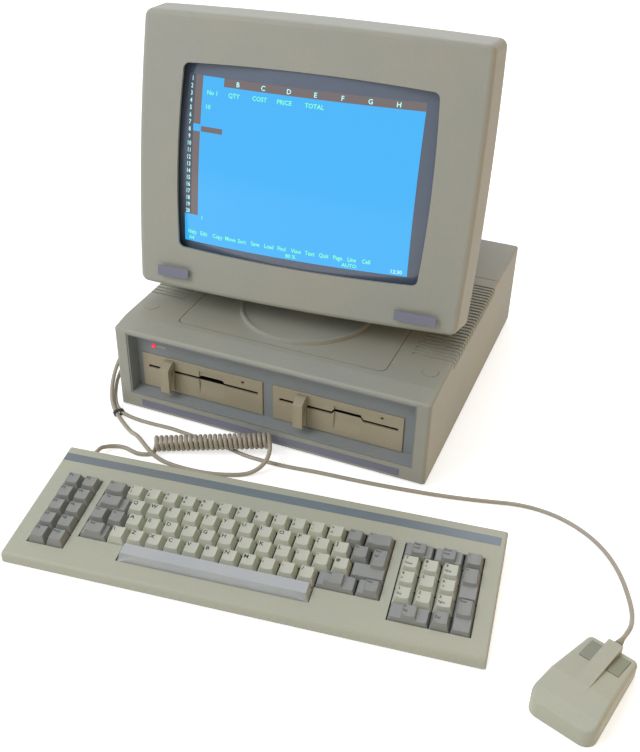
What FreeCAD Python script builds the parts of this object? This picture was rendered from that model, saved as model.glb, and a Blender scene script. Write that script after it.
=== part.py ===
"""Home computer of the nineteen-eighties: system unit with two disk drives,
colour monitor on a tilting foot, keyboard on a curly cord, and a mouse.
All lengths are millimetres, +Z is up, the sitter is on the -Y side."""
import FreeCAD, Part
import math
import os
import re
import Sketcher
from FreeCAD import Placement, Rotation, Vector

doc = FreeCAD.newDocument("home_computer")
sheet = doc.addObject("Spreadsheet::Sheet", "dims")

# Driving dimensions, one named value for each size that can be set by itself
SIZES = {
    # system unit case, its front left bottom corner is the unit's own origin
    "unit_width": 372.0, "unit_depth": 375.0, "unit_height": 107.15,
    "case_wall": 3.0, "front_drop": 3.6, "front_crease": 25.0,
    "case_round": 4.0, "case_top_round": 3.0,
    "window_side": 15.0, "window_low": 18.0, "window_high": 99.0,
    "vent_length": 47.0, "vent_start": 80.0, "vent_pitch": 6.6, "vent_width": 3.0,
    "vent_depth": 1.6, "vent_fall": 9.0, "vent_rows": 27,
    "rear_line": 273.5, "rear_line_width": 1.2,
    "well_side": 62.0, "well_front": 33.0, "well_back": 205.0,
    "plate_thickness": 2.5, "plate_round": 8.0, "seam": 0.8,
    "cap_radius": 9.0, "cap_inset": 18.4, "cap_back": 53.0, "cap_thickness": 2.4,
    "screw_radius": 1.55, "screw_head_radius": 4.0, "screw_head": 2.2, "screw_length": 16.0,
    "cell_radius": 7.1, "cell_length": 49.5, "cell_nub_radius": 2.7, "cell_nub": 1.0,
    # feet
    "foot_height": 4.0, "foot_radius": 10.0, "foot_inset": 40.0,
    # metal tray
    "sheet_metal": 1.5, "tray_rim": 24.0, "back_panel_top": 99.0, "post_radius": 5.0,
    "shelf_back": 222.0, "shelf_top": 25.9,
    # recessed front panel
    "panel_recess": 15.0, "panel_floor": 18.6, "recess_side": 3.0, "recess_rise": 5.5,
    "panel_flange": 3.6, "power_lamp_x": 41.3, "power_lamp_z": 80.8, "power_lamp_radius": 2.5,
    # half height disk drives
    "first_drive": 25.8, "second_drive": 189.4, "fascia_width": 151.4, "fascia_height": 44.6,
    "fascia_low": 24.3, "fascia_thickness": 6.0, "fascia_proud": 1.5,
    "slot_left": 8.0, "slot_right": 145.5, "slot_low": 26.4, "slot_high": 30.0,
    "slot_rise": 3.6, "tongue_left": 72.5, "tongue_right": 103.6, "slope_run": 3.0,
    "notch_high": 38.0, "notch_depth": 1.6, "thumb_low": 7.5, "thumb_high": 20.0,
    "drive_lamp_x": 127.2, "drive_lamp_z": 37.9, "drive_lamp_radius": 1.9,
    "fascia_round": 0.8, "lever_x": 35.7, "lever_z": 36.7, "lever_shaft": 4.0, "lever_width": 11.0,
    "lever_high": 6.0, "lever_long": 39.0, "lever_reach": 14.5, "lever_blade": 4.2, "lever_lift": 3.0,
    "lever_slope": 5.0, "lever_round": 1.0,
    "frame_width": 146.0, "frame_depth": 198.0, "frame_height": 41.0, "frame_wall": 2.0,
    "hub_back": 72.0, "hub_radius": 16.0, "hub_height": 5.0, "spindle_radius": 5.0,
    "bearing_radius": 12.0, "hub_drop": 3.0, "rail_radius": 2.5, "rail_spacing": 30.0,
    "rail_height": 13.0, "rail_margin": 6.0, "rail_rest": 5.0,
    "carriage_width": 44.0, "carriage_length": 46.0, "carriage_low": 6.0, "arm_gap": 5.0,
    "arm_height": 5.0, "arm_width": 18.0, "arm_neck": 7.0, "head_track": 57.15,
    "head_inset": 8.0, "head_radius": 4.0, "head_travel": 20.6,
    "stepper_radius": 18.0, "stepper_height": 22.0,
    # boards, sockets and speaker
    "board_thickness": 1.6, "board_left": 25.0, "board_right": 290.0, "board_front": 36.0,
    "board_back": 360.0, "board_height": 8.0, "chip_width": 7.6, "chip_length": 20.0,
    "chip_height": 3.6, "big_chip_width": 15.2, "big_chip_length": 52.0,
    "edge_socket_length": 85.0, "edge_socket_width": 9.0, "edge_socket_height": 15.0,
    "slot_pitch": 20.32, "first_slot": 60.0, "slot_cover_width": 18.4, "slot_cover_height": 84.0,
    "slot_opening": 12.0, "slot_cover_thickness": 1.0,
    "dsub_width": 39.0, "printer_x": 150.0, "serial_x": 205.0, "power_x": 255.0,
    "picture_x": 285.0, "rear_din_high": 32.0, "memory_x": 150.0, "memory_y": 246.0,
    "processor_y": 156.0, "dsub_height": 11.5, "dsub_slant": 2.0, "dsub_depth": 12.0,
    "din_radius": 7.6, "din_bore": 6.4, "din_depth": 10.0,
    "side_socket_back": 165.0, "side_socket_high": 52.0, "mouse_socket_back": 128.0,
    "mouse_socket_high": 34.0, "side_dsub": 19.0, "side_board_gap": 11.5,
    "wheel_radius": 11.0, "wheel_thickness": 4.0, "wheel_back": 80.0, "wheel_high": 50.0,
    "wheel_proud": 2.0, "wheel_pin": 2.0, "wheel_notch": 0.5, "wheel_notches": 24,
    "speaker_radius": 28.5, "speaker_height": 20.0, "speaker_side": 44.0, "speaker_y": 300.0,
    # monitor, its own origin is the middle of the face's lower edge
    "face_width": 360.0, "face_height": 290.5, "face_bow": 3.0, "bezel_depth": 52.0,
    "bezel_flare": 4.5, "bezel_wall": 3.2, "face_radius": 3655.0, "face_sag": 7.3,
    "face_round": 6.0, "face_corner": 9.0,
    "opening_width": 267.5, "opening_height": 195.4, "opening_low": 47.4, "opening_bow": 4.0,
    "opening_corner": 7.0,
    "shoulder_depth": 110.0, "shoulder_width": 346.0, "shoulder_low": 5.0,
    "shoulder_high": 283.0, "rear_depth": 352.0, "rear_width": 236.0, "rear_low": 75.0,
    "rear_high": 238.0, "rear_wall": 2.6, "rear_vents": 16, "rear_vent_pitch": 9.0,
    "rear_vent_width": 4.0, "rear_vent_length": 170.0, "rear_vent_start": 150.0,
    "plug_lap": 6.0, "rib": 6.0,
    "tube_width": 284.0, "tube_height": 212.0, "tube_radius": 760.0, "tube_front": -2.5,
    "tube_band": 42.0, "tube_bow": 0.5, "tube_corner": 22.0, "funnel_end": 214.0,
    "neck_radius": 14.5, "neck_end": 312.0,
    "yoke_start": 221.0, "yoke_length": 48.0, "yoke_radius": 42.0, "yoke_back_radius": 33.0,
    "neck_board": 72.0, "chassis_low": 36.0, "chassis_half": 132.0, "chassis_front": 74.0,
    "chassis_back": 186.0, "transformer": 46.0, "transformer_height": 38.0,
    "flyback_radius": 20.0, "flyback_height": 44.0,
    "button_side": 12.0, "button_length": 22.0, "button_depth": 78.0, "button_high": 62.0,
    "button_proud": 3.4, "plug_front_round": 1.0,
    "knob_radius": 12.0, "knob_thickness": 5.0, "knob_depth": 122.0, "knob_high": 62.0,
    "knob_proud": 3.0, "knob_notches": 20,
    "gland_radius": 6.0, "gland_length": 14.0, "gland_spread": 60.0, "gland_rise": 16.0,
    # foot of the monitor, its rest angles and its ball joint
    "foot_x": 186.0, "foot_y": 120.0, "swivel_deg": 4.48, "lean_deg": 11.7,
    "pivot_back": 20.0, "pivot_high": 47.35, "pivot_depth": 80.4, "pivot_rise": 27.8,
    "dome_radius": 44.0, "dome_top": 8.0, "dome_gap": 0.3, "dish_radius": 78.0,
    "dish_rim": 5.4, "dish_floor": 2.9,
    "dish_lip": 2.6, "cup_radius": 33.0, "cup_height": 11.8, "spigot_radius": 20.0,
    # keyboard, its own origin is the front left corner of the sloping deck, on the desk
    "keyboard_x": 29.38, "keyboard_y": -265.44, "keyboard_deg": 7.24,
    "keyboard_width": 467.8, "keyboard_depth": 150.5, "deck_front": 12.2, "deck_back": 26.1,
    "lip": 2.5, "lip_round": 5.0, "keyboard_wall": 2.5, "keyboard_round": 2.5,
    "keyboard_lift": 1.2, "keyboard_floor": 1.2,
    "pitch": 19.05, "row_pitch": 18.5, "first_row": 101.4, "function_left": 18.0,
    "main_left": 63.9, "pad_left": 374.2,
    "bay_gap": 0.4, "key_gap": 0.9, "cap_low": 2.0, "cap_top": 7.2, "cap_step": 3.2, "cap_ledge": 0.3,
    "cap_side": 2.9, "cap_front": 3.6, "cap_rear": 1.5, "dish_key_radius": 22.0, "dish_key_depth": 0.9,
    "key_corner": 1.0, "stem_radius": 2.85, "stem_gap": 0.1, "stem_length": 5.4, "switch_side": 14.0,
    "switch_top": 5.8, "plate_top": 8.2, "plate_low": 9.7,
    "board_inset": 10.0, "board_start": 4.0, "board_end": 122.0,
    "leg_width": 40.0, "leg_length": 24.0, "leg_thickness": 4.0, "leg_x": 45.0, "leg_pin": 1.5,
    "leg_back": 139.0, "leg_high": 3.6, "leg_ear": 3.0, "pad_radius": 6.0,
    # mouse, its own origin is the middle of its plan, on the desk
    "mouse_x": 577.4, "mouse_y": -198.8, "mouse_deg": -18.2, "mouse_length": 98.0,
    "mouse_rear_half": 31.5, "mouse_front_half": 23.5, "mouse_rear_corner": 11.0,
    "mouse_front_corner": 6.0, "mouse_lift": 0.6, "mouse_front_high": 15.0, "mouse_top_high": 27.0,
    "mouse_rear_high": 17.0, "mouse_break": -14.0, "mouse_tail": -37.0, "mouse_tail_high": 25.0,
    "mouse_wall": 2.2,
    "mouse_round": 3.5, "spine_half": 6.8, "spine_front_high": 22.0, "spine_back": -24.0,
    "spine_rise": 0.3,
    "mouse_button_width": 11.0, "mouse_button_length": 26.0, "mouse_button_x": 12.8,
    "mouse_button_y": 29.5, "mouse_button_travel": 0.8, "mouse_button_proud": 0.5,
    "ball_radius": 11.0, "ball_y": -6.0, "ring_radius": 17.0, "ring_hole": 7.4, "ring_thickness": 1.8,
    "roller_radius": 2.0, "roller_shaft": 1.0, "roller_length": 20.0, "roller_gap": 0.2,
    "cage_height": 9.0, "roller_post": 4.0,
    # cords and what is on them
    "lead_radius": 2.4, "curl_radius": 6.85, "curl_pitch": 5.4, "curl_turns": 23,
    "mouse_cord_radius": 2.2, "desk_gap": 0.05,
    "gland_x": 20.0, "gland_z": 9.0, "relief_length": 14.0, "relief_radius": 4.6,
    "mouse_relief_length": 16.0, "mouse_relief_radius": 5.5, "mouse_relief_z": 12.5,
    "plug_radius": 7.0, "plug_length": 26.0, "plug_tail": 12.0, "plug_tail_radius": 3.4,
    "plug_tip_radius": 6.1, "plug_tip": 6.0, "mouse_plug_width": 34.0, "mouse_plug_height": 14.0,
    "mouse_plug_length": 24.0, "mouse_plug_tail": 10.0,
    "tie_length": 4.0, "tie_thickness": 1.1,
    "route_unit": 1.0, "arc_share": 0.45, "lead_run": 10.0, "relief_play": 0.5, "tail_run": 8.0,
    "relief_rings": 4, "groove_width": 1.6, "groove_wall": 0.9,
    # fits
    "gap": 0.3, "run_gap": 0.06, "overrun": 1.0,
}
for row, (alias, number) in enumerate(SIZES.items(), start=1):
    sheet.set(f"A{row}", alias)
    sheet.set(f"B{row}", str(number))
    sheet.setAlias(f"B{row}", alias)
doc.recompute()


class Values:
    """Reads a size from the sheet by its alias."""

    def __getattr__(self, alias):
        return float(sheet.get(alias))


val = Values()
NODES = []
CORD_NODES = ["keyboard_lead", "keyboard_coil", "keyboard_tail", "mouse_cord",
              "keyboard_plug", "mouse_plug", "cord_tie"]


def formula(text):
    """Puts the sheet's name before each alias in a formula."""
    return re.sub(r"[a-z][a-z_]*", lambda word: "dims." + word.group(0)
                  if word.group(0) in SIZES else word.group(0), str(text))


def number(text):
    """The value of a formula, for shapes that are worked out in this file."""
    words = {alias: getattr(val, alias) for alias in SIZES if alias in str(text)}
    total = FreeCAD.Units.Quantity(re.sub(r"[a-z][a-z_]*", lambda word: str(words[word.group(0)]),
                                          str(text)))
    return float(total.Value)


def bind(thing, links):
    for prop, text in links.items():
        thing.setExpression(prop, formula(text))
    return thing


def at(thing, place):
    return bind(thing, {"Placement.Base.x": place[0], "Placement.Base.y": place[1],
                        "Placement.Base.z": place[2]})


TURNS = {"z": Rotation(), "y": Rotation(Vector(1, 0, 0), -90), "x": Rotation(Vector(0, 1, 0), 90)}


def block(name, corner, size):
    """A box from its lowest corner and its three lengths."""
    thing = doc.addObject("Part::Box", name)
    bind(thing, {"Length": size[0], "Width": size[1], "Height": size[2]})
    return at(thing, corner)


def rod(name, foot, radius, length, along="z"):
    thing = doc.addObject("Part::Cylinder", name)
    thing.Placement = Placement(Vector(), TURNS[along])
    bind(thing, {"Radius": radius, "Height": length})
    return at(thing, foot)


def cone(name, foot, radius, end_radius, length, along="z"):
    thing = doc.addObject("Part::Cone", name)
    thing.Placement = Placement(Vector(), TURNS[along])
    bind(thing, {"Radius1": radius, "Radius2": end_radius, "Height": length})
    return at(thing, foot)


def ball(name, centre, radius):
    return at(bind(doc.addObject("Part::Sphere", name), {"Radius": radius}), centre)


def group(name, things):
    """Separate solids side by side in one object."""
    thing = doc.addObject("Part::Compound", name)
    thing.Links = things
    return thing


def fuse(name, things):
    thing = doc.addObject("Part::MultiFuse", name)
    thing.Shapes = things
    return thing


def cut(name, base, tools):
    thing = doc.addObject("Part::Cut", name)
    thing.Base = base
    thing.Tool = tools[0] if len(tools) == 1 else group(name + "_tools", tools)
    return thing


def shape(name, solid):
    """A solid that this file works out itself."""
    thing = doc.addObject("Part::Feature", name)
    thing.Shape = solid
    return thing


def rounded(name, base, radius, wanted):
    """Rounds each edge of base for which wanted(edge) is true."""
    doc.recompute()
    thing = doc.addObject("Part::Fillet", name)
    thing.Base = base
    edges = [index for index, edge in enumerate(base.Shape.Edges, start=1) if wanted(edge)]
    thing.Edges = [(index, number(radius), number(radius)) for index in edges]
    return thing


def node(name, thing, place=None):
    """Names a finished sub-part and puts it in its place."""
    if thing.TypeId == "PartDesign::Body":
        thing = group(name, [thing])
    thing.Label = name
    if place is not None:
        thing.Placement = place
    NODES.append(thing)
    return thing


def new_body(name):
    body = doc.addObject("PartDesign::Body", name)
    body.AllowCompound = True
    return body


def sketch_on(body, role, name):
    sketch = body.newObject("Sketcher::SketchObject", name)
    plane = [item for item in body.Origin.OriginFeatures if item.Role == role][0]
    sketch.AttachmentSupport = [(plane, "")]
    sketch.MapMode = "FlatFace"
    return sketch


def outline(sketch, points):
    """A closed outline of straight lines whose corners are bound to the sheet."""
    corners = [Vector(number(x), number(y), 0) for x, y in points]
    first = sketch.GeometryCount
    for index, corner in enumerate(corners):
        sketch.addGeometry(Part.LineSegment(corner, corners[(index + 1) % len(corners)]), False)
    for index, (x, y) in enumerate(points):
        follower = first + (index + 1) % len(corners)
        sketch.addConstraint(Sketcher.Constraint("Coincident", first + index, 2, follower, 1))
    for index, (x, y) in enumerate(points):
        for kind, text, coordinate in (("DistanceX", x, corners[index].x),
                                       ("DistanceY", y, corners[index].y)):
            place = sketch.addConstraint(
                Sketcher.Constraint(kind, -1, 1, first + index, 1, coordinate))
            sketch.setExpression(f"Constraints[{place}]", formula(text))
    return sketch


def ring(sketch, centre, radius):
    """A circle whose centre and radius are bound to the sheet."""
    middle = Vector(number(centre[0]), number(centre[1]), 0)
    first = sketch.addGeometry(Part.Circle(middle, Vector(0, 0, 1), number(radius)), False)
    for kind, text, coordinate in (("DistanceX", centre[0], middle.x),
                                   ("DistanceY", centre[1], middle.y)):
        place = sketch.addConstraint(Sketcher.Constraint(kind, -1, 1, first, 3, coordinate))
        sketch.setExpression(f"Constraints[{place}]", formula(text))
    place = sketch.addConstraint(Sketcher.Constraint("Radius", first, number(radius)))
    sketch.setExpression(f"Constraints[{place}]", formula(radius))
    return sketch


def pad(body, sketch, length, backwards=False):
    feature = body.newObject("PartDesign::Pad", sketch.Name + "_pad")
    feature.Profile = sketch
    feature.Reversed = backwards
    sketch.Visibility = False
    bind(feature, {"Length": length})
    doc.recompute()
    return feature


def pocket(body, sketch, length, backwards=False):
    """Cuts the sketch's outline and makes sure that the cut took something away."""
    before = body.Shape.Volume
    feature = body.newObject("PartDesign::Pocket", sketch.Name + "_pocket")
    feature.Profile = sketch
    feature.Reversed = backwards
    sketch.Visibility = False
    bind(feature, {"Length": length})
    doc.recompute()
    if body.Shape.Volume >= before:
        raise ValueError(sketch.Name + " cuts nothing")
    return feature


def revolve(body, sketch):
    feature = body.newObject("PartDesign::Revolution", sketch.Name + "_turn")
    feature.Profile = sketch
    feature.ReferenceAxis = (sketch, ["V_Axis"])
    feature.Angle = 360
    doc.recompute()
    return feature


def row_of(body, feature, axis_role, length, count):
    """Repeats a feature along one of the body's own axes."""
    pattern = body.newObject("PartDesign::LinearPattern", feature.Name + "_row")
    pattern.Originals = [feature]
    axis = [item for item in body.Origin.OriginFeatures if item.Role == axis_role][0]
    pattern.Direction = (axis, [""])
    bind(pattern, {"Length": length, "Occurrences": count})
    body.Tip = pattern
    doc.recompute()
    return pattern


def prism(name, role, points, length, backwards=False):
    """An outline padded square to one of the origin planes."""
    body = new_body(name)
    pad(body, outline(sketch_on(body, role, name + "_outline"), points), length, backwards)
    return body


def wheel(name, radius, thickness, bore, notch, notches):
    """A thumb wheel with a bore and a ring of finger notches, round its own axis."""
    body = new_body(name)
    disc = ring(ring(sketch_on(body, "XY_Plane", name + "_disc"), ("0", "0"), radius),
                ("0", "0"), bore)
    pad(body, disc, thickness)
    nick = ring(sketch_on(body, "XY_Plane", name + "_nick"), (radius, "0"), notch)
    feature = pocket(body, nick, thickness, backwards=True)
    pattern = body.newObject("PartDesign::PolarPattern", name + "_nicks")
    pattern.Originals = [feature]
    pattern.Axis = (nick, ["N_Axis"])
    pattern.Angle = 360
    bind(pattern, {"Occurrences": notches})
    body.Tip = pattern
    doc.recompute()
    return body


def upright(edge):
    """True for an edge that runs straight up."""
    line = edge.Curve
    return line.TypeId == "Part::GeomLine" and abs(line.Direction.z) > 0.999


def level(edge, axis):
    line = edge.Curve
    return line.TypeId == "Part::GeomLine" and abs(getattr(line.Direction, axis)) > 0.99


# System unit: the moulded cover
case = prism("case_block", "YZ_Plane", [
    ("0", "0"), ("0", "unit_height - front_drop"), ("front_crease", "unit_height"),
    ("unit_depth", "unit_height"), ("unit_depth", "0")], "unit_width")
case_sides = rounded("case_sides", case, "case_round",
                     lambda edge: upright(edge) and edge.CenterOfMass.y < val.front_crease)
case_top = rounded(
    "case_top", case_sides, "case_top_round",
    lambda edge: edge.BoundBox.ZMin > val.unit_height - val.front_drop - val.run_gap
    and not (level(edge, "x") and edge.CenterOfMass.y > val.gap)
    and not upright(edge))

vent = prism("vent", "XZ_Plane", [
    ("unit_width - vent_length", "unit_height + overrun"),
    ("unit_width - vent_length", "unit_height - vent_depth"),
    ("unit_width - vent_depth", "unit_height - vent_depth"),
    ("unit_width - vent_depth", "unit_height - vent_fall"),
    ("unit_width + overrun", "unit_height - vent_fall"),
    ("unit_width + overrun", "unit_height + overrun")], "vent_width", backwards=True)
row_of(vent, vent.Tip, "Y_Axis", "vent_pitch * (vent_rows - 1)", "vent_rows")
at(vent, ("0", "vent_start", "0"))
left_vents = doc.addObject("Part::Mirroring", "left_vents")
left_vents.Source = vent
left_vents.Normal = Vector(1, 0, 0)
bind(left_vents, {"Base.x": "unit_width / 2"})
lines = [block(f"rear_line_{index}", (x, "rear_line", "unit_height - vent_depth"),
               ("vent_length", "rear_line_width", "vent_depth + overrun"))
         for index, x in enumerate(("0", "unit_width - vent_length"))]

cavity_top = "unit_height - front_drop - case_wall"
cavity = block("cavity", ("case_wall", "case_wall", "0 - overrun"),
               ("unit_width - 2 * case_wall", "unit_depth", f"{cavity_top} + overrun"))
window = block("window", ("window_side", "0 - overrun", "window_low"),
               ("unit_width - 2 * window_side", "case_wall + 2 * overrun",
                "window_high - window_low"))
plate_seat = rounded(
    "plate_seat", block("plate_seat_block",
                        ("well_side", "well_front", "unit_height - plate_thickness - gap"),
                        ("unit_width - 2 * well_side", "well_back - well_front",
                         "plate_thickness + gap + overrun")), "plate_round", upright)
cap_seats = [rod(f"cap_seat_{index}", (x, "cap_back", "unit_height - cap_thickness"),
                 "cap_radius", "cap_thickness + overrun")
             for index, x in enumerate(("cap_inset", "unit_width - cap_inset"))]
head_seats = [rod(f"head_seat_{index}",
                  (x, "cap_back", "unit_height - cap_thickness - screw_head - gap"),
                  "screw_head_radius + gap", "screw_head + 2 * gap")
              for index, x in enumerate(("cap_inset", "unit_width - cap_inset"))]
screw_ways = [rod(f"screw_way_{index}", (x, "cap_back", f"{cavity_top} - overrun"),
                  "screw_radius + gap", "unit_height")
              for index, x in enumerate(("cap_inset", "unit_width - cap_inset"))]
cell_well_x = "unit_width / 2 - cell_length - cell_nub - 2 * gap"
cell_well_y = "well_back - 3 * cell_radius - 6 * gap - case_wall * 5"
cell_well = block("cell_well", (cell_well_x, cell_well_y, "unit_height - 3 * cell_radius"),
                  ("2 * (cell_length + cell_nub + 2 * gap)", "4 * cell_radius + 3 * gap",
                   "3 * cell_radius + overrun"))
cell_tub = block("cell_tub", (f"{cell_well_x} - case_wall", f"{cell_well_y} - case_wall",
                              "unit_height - 3 * cell_radius - case_wall"),
                 ("2 * (cell_length + cell_nub + 2 * gap + case_wall)",
                  "4 * cell_radius + 3 * gap + 2 * case_wall",
                  "3 * cell_radius + case_wall - plate_thickness - overrun"))
side_hole = block("side_hole", ("0 - overrun", "mouse_socket_back - mouse_plug_width / 2 - overrun",
                                "mouse_socket_high - mouse_plug_height / 2 - overrun"),
                  ("case_wall + 2 * overrun",
                   "side_socket_back - mouse_socket_back + mouse_plug_width",
                   "side_socket_high - mouse_socket_high + mouse_plug_height + 2 * overrun"))
wheel_slot = block("wheel_slot", ("0 - overrun", "wheel_back - wheel_radius - gap",
                                  "wheel_high - 2 * gap"),
                   ("case_wall + 2 * overrun", "2 * (wheel_radius + gap)",
                    "wheel_thickness + 4 * gap"))
hollow_case = cut("hollow_case", case_top, [cavity])
cover = cut("cover", fuse("cover_with_tub", [hollow_case, cell_tub]),
            [window, vent, left_vents, side_hole, wheel_slot] + lines)
top_cover = cut("top_cover", cover, [fuse("top_holes", [plate_seat, cell_well]),
                                     fuse("cap_holes", cap_seats + head_seats + screw_ways)])
node("top_cover", top_cover)

# The plate in the middle of the top, which the monitor stands on
plate = rounded("plate_round_corners", block(
    "plate_block", ("well_side + seam", "well_front + seam", "unit_height - plate_thickness"),
    ("unit_width - 2 * (well_side + seam)", "well_back - well_front - 2 * seam",
     "plate_thickness")), "plate_round", upright)
spigot_hole = rod("spigot_hole", ("foot_x", "foot_y", "unit_height - plate_thickness - overrun"),
                  "spigot_radius + run_gap", "plate_thickness + 2 * overrun")
node("battery_cover", cut("battery_cover", plate, [spigot_hole]))

# Four cells for the clock, in two rows under the plate
cell = new_body("cell")
revolve(cell, outline(sketch_on(cell, "XZ_Plane", "cell_outline"), [
    ("0", "0"), ("cell_radius", "0"), ("cell_radius", "cell_length"),
    ("cell_nub_radius", "cell_length"), ("cell_nub_radius", "cell_length + cell_nub"),
    ("0", "cell_length + cell_nub")]))
cells = []
for column in (0, 1):
    for line in (0, 1):
        copy = doc.addObject("Part::Compound", f"cell_{column}_{line}")
        copy.Links = [cell]
        copy.Placement = Placement(Vector(), TURNS["x"])
        at(copy, (f"{cell_well_x} + gap + {column} * (cell_length + cell_nub + gap)",
                  f"{cell_well_y} + cell_radius + gap + {line} * (2 * cell_radius + gap)",
                  "unit_height - 2 * cell_radius + gap"))
        cells.append(copy)
node("battery_cells", group("battery_cells", cells))

node("screw_caps", group("screw_caps", [
    rod(f"screw_cap_{index}", (x, "cap_back", "unit_height - cap_thickness"),
        "cap_radius - gap", "cap_thickness + gap")
    for index, x in enumerate(("cap_inset", "unit_width - cap_inset"))]))

head_low = "unit_height - cap_thickness - screw_head - gap"
screws = []
for index, x in enumerate(("cap_inset", "unit_width - cap_inset")):
    screws.append(fuse(f"case_screw_{index}", [
        rod(f"screw_head_{index}", (x, "cap_back", head_low), "screw_head_radius", "screw_head"),
        rod(f"screw_shank_{index}", (x, "cap_back", f"{head_low} - screw_length"),
            "screw_radius", "screw_length")]))
node("case_screws", group("case_screws", screws))

# The steel tray that carries the boards, the drives' shelf and the back panel
tray_side = "case_wall + gap"
tray_front = "case_wall + gap"
tray_back = "unit_depth - case_wall - gap"
pan = cut("pan", block("pan_block", (tray_side, tray_front, "gap"),
                       (f"unit_width - 2 * ({tray_side})", f"{tray_back} - ({tray_front})",
                        "tray_rim")),
          [block("pan_hollow", (f"{tray_side} + sheet_metal", f"{tray_front} + sheet_metal",
                                "gap + sheet_metal"),
                 (f"unit_width - 2 * ({tray_side} + sheet_metal)",
                  f"{tray_back} - ({tray_front}) - 2 * sheet_metal", "tray_rim + overrun"))])
panel_notch = block("panel_notch", (f"{tray_side} + sheet_metal", f"{tray_front} - overrun",
                                    "window_low - panel_flange - gap"),
                    (f"unit_width - 2 * ({tray_side} + sheet_metal)", "sheet_metal + 2 * overrun",
                     "tray_rim"))
back_panel = block("back_panel_block", (tray_side, f"{tray_back} - sheet_metal", "gap"),
                   (f"unit_width - 2 * ({tray_side})", "sheet_metal", "back_panel_top"))
slot_openings = [block(f"slot_opening_{index}",
                       (f"first_slot + {index} * slot_pitch - slot_opening / 2",
                        f"{tray_back} - sheet_metal - overrun", "board_height"),
                       ("slot_opening", "sheet_metal + 2 * overrun",
                        "slot_cover_height - board_height"))
                 for index in range(3)]


def dsub(name, x, z, half_width, start, length):
    """The D-shaped shell of a plug or socket, its axis along Y."""
    points = [(f"{x} - ({half_width})", f"{z} + dsub_height / 2"),
              (f"{x} - ({half_width}) + dsub_slant", f"{z} - dsub_height / 2"),
              (f"{x} + {half_width} - dsub_slant", f"{z} - dsub_height / 2"),
              (f"{x} + {half_width}", f"{z} + dsub_height / 2")]
    return at(prism(name, "XZ_Plane", points, length, backwards=True), ("0", start, "0"))


REAR_DSUBS = {"printer": ("printer_x", "dsub_width / 2"), "serial": ("serial_x", "dsub_width / 2")}
REAR_DINS = {"power": "power_x", "picture": "picture_x"}
rear_high = "board_height + board_thickness + dsub_height / 2"
panel_holes = [dsub(f"{name}_hole", x, rear_high, f"{half} + gap",
                    f"{tray_back} - sheet_metal - overrun", "sheet_metal + 2 * overrun")
               for name, (x, half) in REAR_DSUBS.items()]
panel_holes += [rod(f"{name}_hole", (x, f"{tray_back} - sheet_metal - overrun", "rear_din_high"),
                    "din_radius + gap", "sheet_metal + 2 * overrun", along="y")
                for name, x in REAR_DINS.items()]
posts = [cut(f"post_{index}", rod(f"post_rod_{index}", (x, "cap_back", "gap"), "post_radius",
                                  f"{cavity_top} - 2 * gap"),
             [rod(f"post_bore_{index}", (x, "cap_back", f"{cavity_top} - screw_length"),
                  "screw_radius + run_gap", "screw_length")])
         for index, x in enumerate(("cap_inset", "unit_width - cap_inset"))]
shelf = fuse("shelf", [
    block("shelf_plate", ("case_wall * 6", "cap_back + 2 * post_radius",
                          "shelf_top - sheet_metal"),
          ("unit_width - case_wall * 12", "shelf_back - cap_back - 2 * post_radius",
           "sheet_metal"))] + [
    block(f"shelf_leg_{index}", (x, "cap_back + 2 * post_radius", "gap"),
          ("sheet_metal", "shelf_back - cap_back - 2 * post_radius", "shelf_top - gap"))
    for index, x in enumerate(("case_wall * 6", "unit_width - case_wall * 6 - sheet_metal"))])
board_posts = [rod(f"board_post_{index}", (x, y, "gap"), "screw_head_radius",
                   "board_height - gap")
               for index, (x, y) in enumerate(
                   (x, y) for x in ("board_left + post_radius", "board_right - post_radius")
                   for y in ("board_front + post_radius", "board_back - post_radius"))]
tray = cut("tray", fuse("tray_parts", [pan, back_panel]),
           [fuse("tray_openings", [panel_notch] + slot_openings + panel_holes)])
node("base_tray", fuse("base_tray", [tray, shelf] + posts + board_posts))

# Boards: a main board with chips and edge sockets
board = block("board", ("board_left", "board_front", "board_height"),
              ("board_right - board_left", "board_back - board_front", "board_thickness"))
chips = []
for column in range(4):
    for line in range(4):
        chips.append(block(f"memory_{column}_{line}",
                           (f"memory_x + {column} * 2 * chip_width",
                            f"memory_y + {line} * 1.4 * chip_length",
                            "board_height + board_thickness"),
                           ("chip_width", "chip_length", "chip_height")))
for index in range(3):
    chips.append(block(f"processor_{index}",
                       (f"first_slot + {index} * 2.4 * big_chip_width",
                        "processor_y", "board_height + board_thickness"),
                       ("big_chip_width", "big_chip_length", "chip_height")))
edge_sockets = [block(f"edge_socket_{index}",
                      (f"first_slot + {index} * slot_pitch - edge_socket_width / 2",
                       "board_back - edge_socket_length - post_radius * 3",
                       "board_height + board_thickness"),
                      ("edge_socket_width", "edge_socket_length", "edge_socket_height"))
                for index in range(3)]
node("motherboard", group("motherboard", [board] + chips + edge_sockets))

node("slot_covers", group("slot_covers", [
    block(f"slot_cover_{index}",
          (f"first_slot + {index} * slot_pitch - slot_cover_width / 2",
           f"{tray_back} - sheet_metal - slot_cover_thickness", "board_height / 2"),
          ("slot_cover_width", "slot_cover_thickness", "slot_cover_height"))
    for index in range(3)]))

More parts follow.
